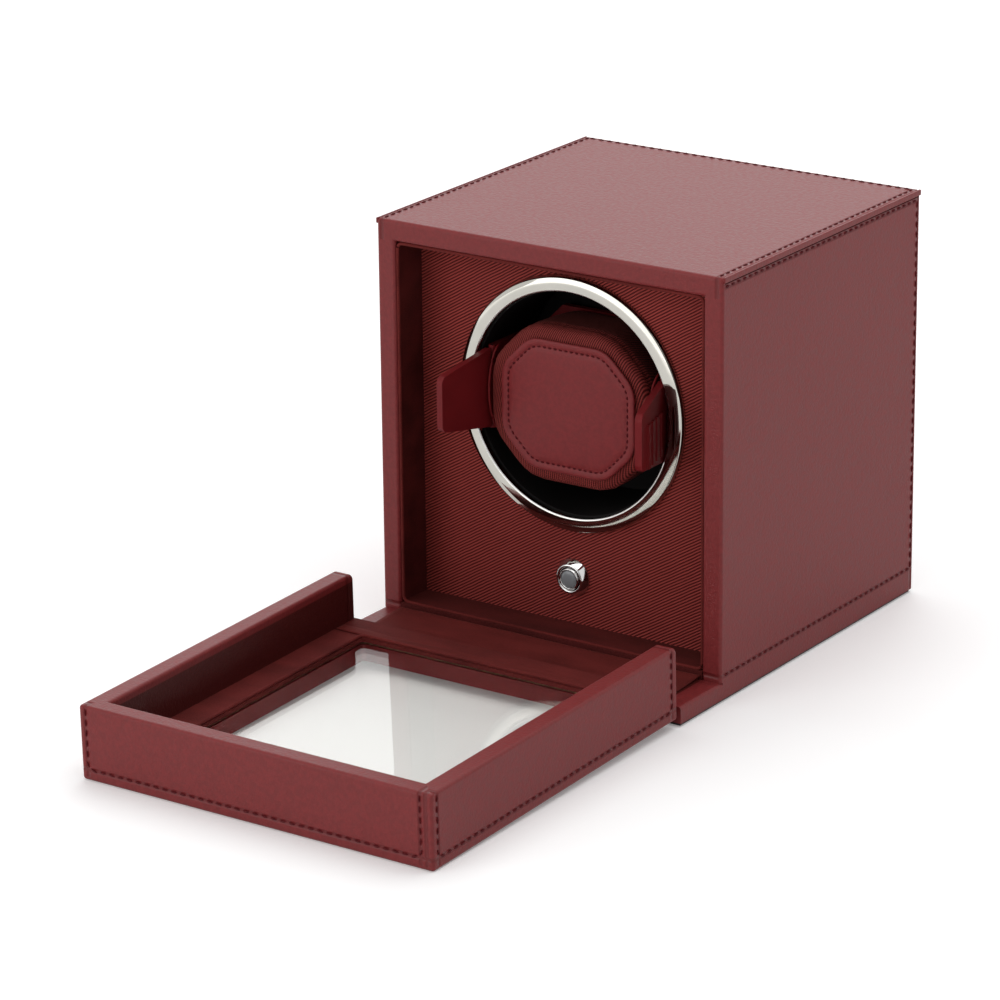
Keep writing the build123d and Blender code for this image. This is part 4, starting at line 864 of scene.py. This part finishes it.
def filled_out(piece, voxel, most):
    """Lets the filling press a closed cover outwards, by cloth simulation; the front under the patch is held."""
    scene = bpy.context.scene
    remesh = piece.modifiers.new("even mesh", "REMESH")
    remesh.mode, remesh.voxel_size = "VOXEL", voxel
    graph = bpy.context.evaluated_depsgraph_get()
    even = bpy.data.meshes.new_from_object(piece.evaluated_get(graph), depsgraph=graph)
    piece.modifiers.clear()
    cover = bpy.data.objects.new("cushion_cover", even)
    scene.collection.objects.link(cover)
    rest = [vertex.co.copy() for vertex in even.vertices]
    held = cover.vertex_groups.new(name="held")
    fixed = [
        index for index, point in enumerate(rest)
        if point.y < FRONT + PATCH_BACK + 0.25 * MM or point.y > FRONT + HELD_BACK
    ]
    held.add(fixed, 1.0, "REPLACE")
    cloth = cover.modifiers.new("filling", "CLOTH")
    cloth.settings.vertex_group_mass = "held"
    cloth.settings.use_pressure = True
    cloth.settings.uniform_pressure_force = FILLING_PRESSURE
    cloth.settings.effector_weights.gravity = 0.0
    cloth.settings.tension_stiffness = cloth.settings.compression_stiffness = 15.0
    cloth.settings.bending_stiffness = 0.5
    cloth.collision_settings.use_collision = False
    cloth.point_cache.frame_start, cloth.point_cache.frame_end = 1, FILLING_FRAMES
    for step in range(1, FILLING_FRAMES + 1):
        scene.frame_set(step)
    graph = bpy.context.evaluated_depsgraph_get()
    pressed = cover.evaluated_get(graph).data
    places = []
    for before, vertex in zip(rest, pressed.vertices):
        move = vertex.co - before
        if move.length > most:
            move *= most / move.length
        places.append(before + move)
    scene.frame_set(1)
    bpy.data.objects.remove(cover)
    even.vertices.foreach_set("co", [value for place in places for value in place])
    old = piece.data
    piece.data = even
    bpy.data.meshes.remove(old)
    finer = piece.modifiers.new("finer", "SUBSURF")
    finer.levels = finer.render_levels = 1
    graph = bpy.context.evaluated_depsgraph_get()
    final = bpy.data.meshes.new_from_object(piece.evaluated_get(graph), depsgraph=graph)
    piece.modifiers.clear()
    piece.data = final
    bpy.data.meshes.remove(even)


def sewn_in(piece, middle_x, middle_z):
    """Draws the side seam in, gathers the cloth at it and keeps the front flat behind the patch."""
    for vertex in piece.data.vertices:
        place = vertex.co
        depth = place.y - FRONT
        away = abs(depth - SEAM_DEPTH)
        pull = 0.55 * MM * math.exp(-(away / (0.75 * MM)) ** 2)
        outward = Vector((place.x - middle_x, 0, place.z - middle_z))
        if outward.length > 20 * MM:
            gather = 0.10 * MM * math.sin(math.atan2(outward.z, outward.x) * 46) * math.exp(-(away / (2.4 * MM)) ** 2)
            place -= outward.normalized() * (pull + gather)
        place.y = max(place.y, FRONT + PATCH_BACK - 0.05 * MM)
    for face in piece.data.polygons:
        face.use_smooth = True


cushion_profile = (
    (43.4, 5.0), (42.8, 3.6), (41.0, 2.2), (37.0, 1.2), (31.0, 0.8), (25.0, 0.5), (21.0, 0.3), (18.6, 0.35),
    (17.6, 0.5), (16.6, 0.3), (15.4, 0.25), (14.3, 0.5), (13.3, 1.2), (12.6, 2.3), (12.25, 3.6), (12.1, 5.2),
    (12.0, 9.0), (12.0, 14.0),
)
cushion = rings_to_piece(
    "cuff_cushion", cuff_rings(cushion_profile, CUSHION_SIZE, 15.5, (7.0, 0.25, 2.5), CUSHION_SHIFT)
)
filled_out(cushion, 1.5 * MM, 0.55 * MM)
sewn_in(cushion, AXIS.x + CUSHION_SHIFT[0], AXIS.z + CUSHION_SHIFT[1])
cushion.data.materials.append(cuff_twill)
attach(cushion, "cuff")
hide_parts("cuff_pad")

patch_profile = (
    (12.0, 0.3), (11.5, 0.02), (11.15, 0.0), (10.85, 0.3), (10.74, 0.8), (10.76, 1.6), (10.92, 2.2), (11.12, 2.6),
    (11.12, 3.0), (10.98, 3.4), (10.82, 4.0), (10.74, 5.1), (10.66, 8.5), (10.6, 14.5),
)
patch = rings_to_piece(
    "cuff_patch_leather", cuff_rings(patch_profile, PATCH_SIZE, 11.8, (4.6, 0.4, 2.2), PATCH_SHIFT)
)
patch.data.materials.append(cuff_leather)
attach(patch, "cuff")
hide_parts("cuff_patch")

patch_stitch = stitch_of("patch_stitch", 1.7 * MM, 0.72 * MM, 0.14 * MM)
LOOP_INSET = 2.8
loop = cuff_ring((PATCH_SIZE[0] - 2 * LOOP_INSET) * MM, (PATCH_SIZE[1] - 2 * LOOP_INSET) * MM, 10.16 * MM, 3.5 * MM,
                 11.10 * MM, PATCH_SHIFT)
sewn("patch_stitches", [(loop + [loop[0]], Vector((0, -1, 0)))], patch_stitch, PATCH_SPACING, "cuff")

# Welts where the cushion's cover meets the arms, bowed forwards at the middle
WELT_ACROSS, WELT_ENDS, WELT_BOW, WELT_HALF = 32.72, 21.4, 8.3, 15.6
for side, name in ((-1, "left_arm_welt"), (1, "right_arm_welt")):
    path = []
    for step in range(33):
        t = step / 32 * 2 - 1
        path.append(Vector((
            AXIS.x + side * WELT_ACROSS * MM,
            FRONT + (WELT_ENDS - WELT_BOW * math.sqrt(max(0.0, 1 - 0.97 * t * t))) * MM,
            AXIS.z + t * WELT_HALF * MM,
        )))
    arm_welt = tube(name, path, 0.38 * MM)
    arm_welt.data.materials.append(wing_plastic)
    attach(arm_welt, "cuff")


# Lining that bridges the leather hinge

def bridge_line():
    """Side view of the lining, from under the recess's lip over the ledge and the hinge to the window."""
    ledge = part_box("ledge_lining")[1].z
    start = Vector((0, FRONT - 0.3 * MM, ledge + 1.5 * MM))
    laid = Vector((0, PIVOT.y + 6.0 * MM, ledge + 0.5 * MM))
    over = Vector((0, PIVOT.y + 1.0 * MM, ledge + 0.45 * MM))
    landing = on_cover(0, 2.0 * MM, COVER_FLOOR + 0.5 * MM)
    finish = on_cover(0, 12.4 * MM, COVER_FLOOR + 0.25 * MM)
    line = [start.lerp(laid, step / 24) for step in range(24)]
    for step in range(33):
        t = step / 32
        line.append(
            laid * (1 - t) ** 3 + over * 3 * t * (1 - t) ** 2 + landing * 3 * t * t * (1 - t) + finish * t ** 3
        )
    return line


line = bridge_line()
half = OPENING - 0.5 * MM
columns = []
for point in line:
    column = []
    for step in range(91):
        across = -half + 2 * half * step / 90
        slack = math.sin(across * 83 + point.y * 240) + math.sin(across * 171 - point.y * 410 + 1.3)
        column.append(Vector((across, point.y, point.z + 0.06 * MM * slack)))
    columns.append(column)
hinge_lining = rings_to_piece("hinge_lining", columns, False, False, around=False)
thick = hinge_lining.modifiers.new("cloth thickness", "SOLIDIFY")
thick.thickness = 0.25 * MM
thick.offset = 0
hinge_lining.data.materials.append(lining)
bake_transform(hinge_lining)


# Turned edges of the lining: round the recess and round the window

def welt(name, corners, radius, body, finish, turn):
    """A closed bead through corners, each turned on a small radius."""
    path = []
    for index, here in enumerate(corners):
        path.extend(rounded_corner(corners[index - 1], here, corners[(index + 1) % len(corners)], turn, 6))
    bead = tube(name, path, radius, closed=True)
    bead.data.materials.append(finish)
    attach(bead, body)
    return bead


def four_corners(side, low, high):
    return (-side, low), (side, low), (side, high), (-side, high)


recess_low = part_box("recess_floor")[1].z + 0.25 * MM
recess_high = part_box("recess_top_liner")[0].z - 0.60 * MM
welt("recess_welt", [
    Vector((across, FRONT + 1.1 * MM, height))
    for across, height in four_corners(OPENING - 0.55 * MM, recess_low, recess_high)
], 0.60 * MM, "case", lining, 2.6 * MM)
window_bead = welt("window_bead", [
    on_cover(across, along, COVER_FLOOR + 0.55 * MM)
    for across, along in four_corners(50.35 * MM, 12.9 * MM, 122.4 * MM)
], 0.7 * MM, "cover", cover_lining_finish, 2.5 * MM)
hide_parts("window_piping")


# Floor, light and camera

def backdrop():
    """A pale table just below the felt, lit up for the camera and in mirrors, the more so away from the middle."""
    mesh = bpy.data.meshes.new("table_top")
    table_half, table_level = 12.0, -0.00005
    corners = four_corners(table_half, -table_half, table_half)
    mesh.from_pydata([(*corner, table_level) for corner in corners], [], [(0, 1, 2, 3)])
    table = bpy.data.objects.new("table_top", mesh)
    bpy.context.scene.collection.objects.link(table)
    finish = new_finish("pale_table", base_color=(0.93, 0.93, 0.93, 1), roughness=0.7, specular_ior_level=0.2,
                        emission_color=(1, 1, 1, 1))
    seen = add_node(finish, "LightPath").outputs
    direct = sums(finish, "MAXIMUM", sums(finish, "MAXIMUM", seen["Is Camera Ray"], seen["Is Glossy Ray"]),
                  seen["Is Transmission Ray"])
    from_middle = add_node(finish, "VectorMath", {0: plain_places(finish)}, operation="LENGTH").outputs["Value"]
    lit = map_between(finish, from_middle, 0.5, 2.2, 0.16, 0.9)
    feed(finish, "Emission Strength", sums(finish, "MULTIPLY", direct, lit))
    mesh.materials.append(finish)


backdrop()


def soft_light(name, place, aim, size, power):
    lamp = bpy.data.lights.new(name, "AREA")
    lamp.shape = "RECTANGLE"
    lamp.size, lamp.size_y = size
    lamp.energy = power
    holder = bpy.data.objects.new(name, lamp)
    bpy.context.scene.collection.objects.link(holder)
    holder.location = place
    holder.rotation_euler = (Vector(aim) - Vector(place)).to_track_quat("-Z", "Y").to_euler()
    holder.visible_camera = False


soft_light("overhead_softbox", (0.1, 0.35, 1.6), (0, 0, 0.05), (2.1, 1.7), 18)
soft_light("front_softbox", (-0.6, -1.9, 0.72), (0, -0.05, 0.06), (1.9, 1.4), 15)
soft_light("back_softbox", (-0.98, 1.43, 0.75), (0, 0, 0.12), (1.5, 0.9), 4.5)

# The room: white to the camera, dim in front for mirrors, and a low level all round for everything else
ROOM_LEVEL = 0.47
ROOM_FRONT = (0.30, -0.94, 0.12)
ROOM_FRONT_LEVEL = 0.25
world = bpy.data.worlds.new("pale_studio")
bpy.context.scene.world = world
world.use_nodes = True
sky = world.node_tree.nodes["Background"]
sky.inputs["Color"].default_value = (1, 1, 1, 1)
ray = add_node(world, "LightPath").outputs
facing = add_node(world, "VectorMath", {0: add_node(world, "TexCoord").outputs["Generated"], 1: ROOM_FRONT},
                  operation="DOT_PRODUCT").outputs["Value"]
dimmed = map_between(world, facing, 0.55, 0.93, 1.0, ROOM_FRONT_LEVEL)
white = sums(world, "MAXIMUM", ray["Is Camera Ray"], ray["Is Transmission Ray"])
mirrored = sums(world, "MULTIPLY", ray["Is Glossy Ray"], dimmed)
diffuse = sums(world, "MULTIPLY", ray["Is Diffuse Ray"], ROOM_LEVEL)
strength = sums(world, "MAXIMUM", sums(world, "MAXIMUM", white, mirrored), diffuse)
world.node_tree.links.new(strength, sky.inputs["Strength"])

# The camera fitted to the photo: what it aims at, where it stands and its lens
AIM = Vector((0.3313, -95.0771, 68.6605)) * MM
AZIMUTH, ELEVATION, ROLL = math.radians(34.4804), math.radians(19.0559), math.radians(-0.6141)
DISTANCE = 1538.84 * MM
FOCAL_LENGTH, SENSOR_WIDTH = 164.345, 36
back = Vector((math.sin(AZIMUTH) * math.cos(ELEVATION), -math.cos(AZIMUTH) * math.cos(ELEVATION), math.sin(ELEVATION)))
right = (-back).cross(Vector((0, 0, 1))).normalized()
up = right.cross(-back)
across = right * math.cos(ROLL) + up * math.sin(ROLL)
upright = up * math.cos(ROLL) - right * math.sin(ROLL)
camera = bpy.data.objects.new("camera", bpy.data.cameras.new("camera"))
bpy.context.scene.collection.objects.link(camera)
camera.data.lens = FOCAL_LENGTH
camera.data.sensor_width = SENSOR_WIDTH
camera.data.clip_start, camera.data.clip_end = 0.05, 50
place = Matrix((across, upright, back)).transposed().to_4x4()
place.translation = AIM + back * DISTANCE
camera.matrix_world = place
bpy.context.scene.camera = camera
bpy.context.scene.view_settings.view_transform = "Standard"

for shape in (case_stitch, patch_stitch):
    bpy.data.objects.remove(shape)
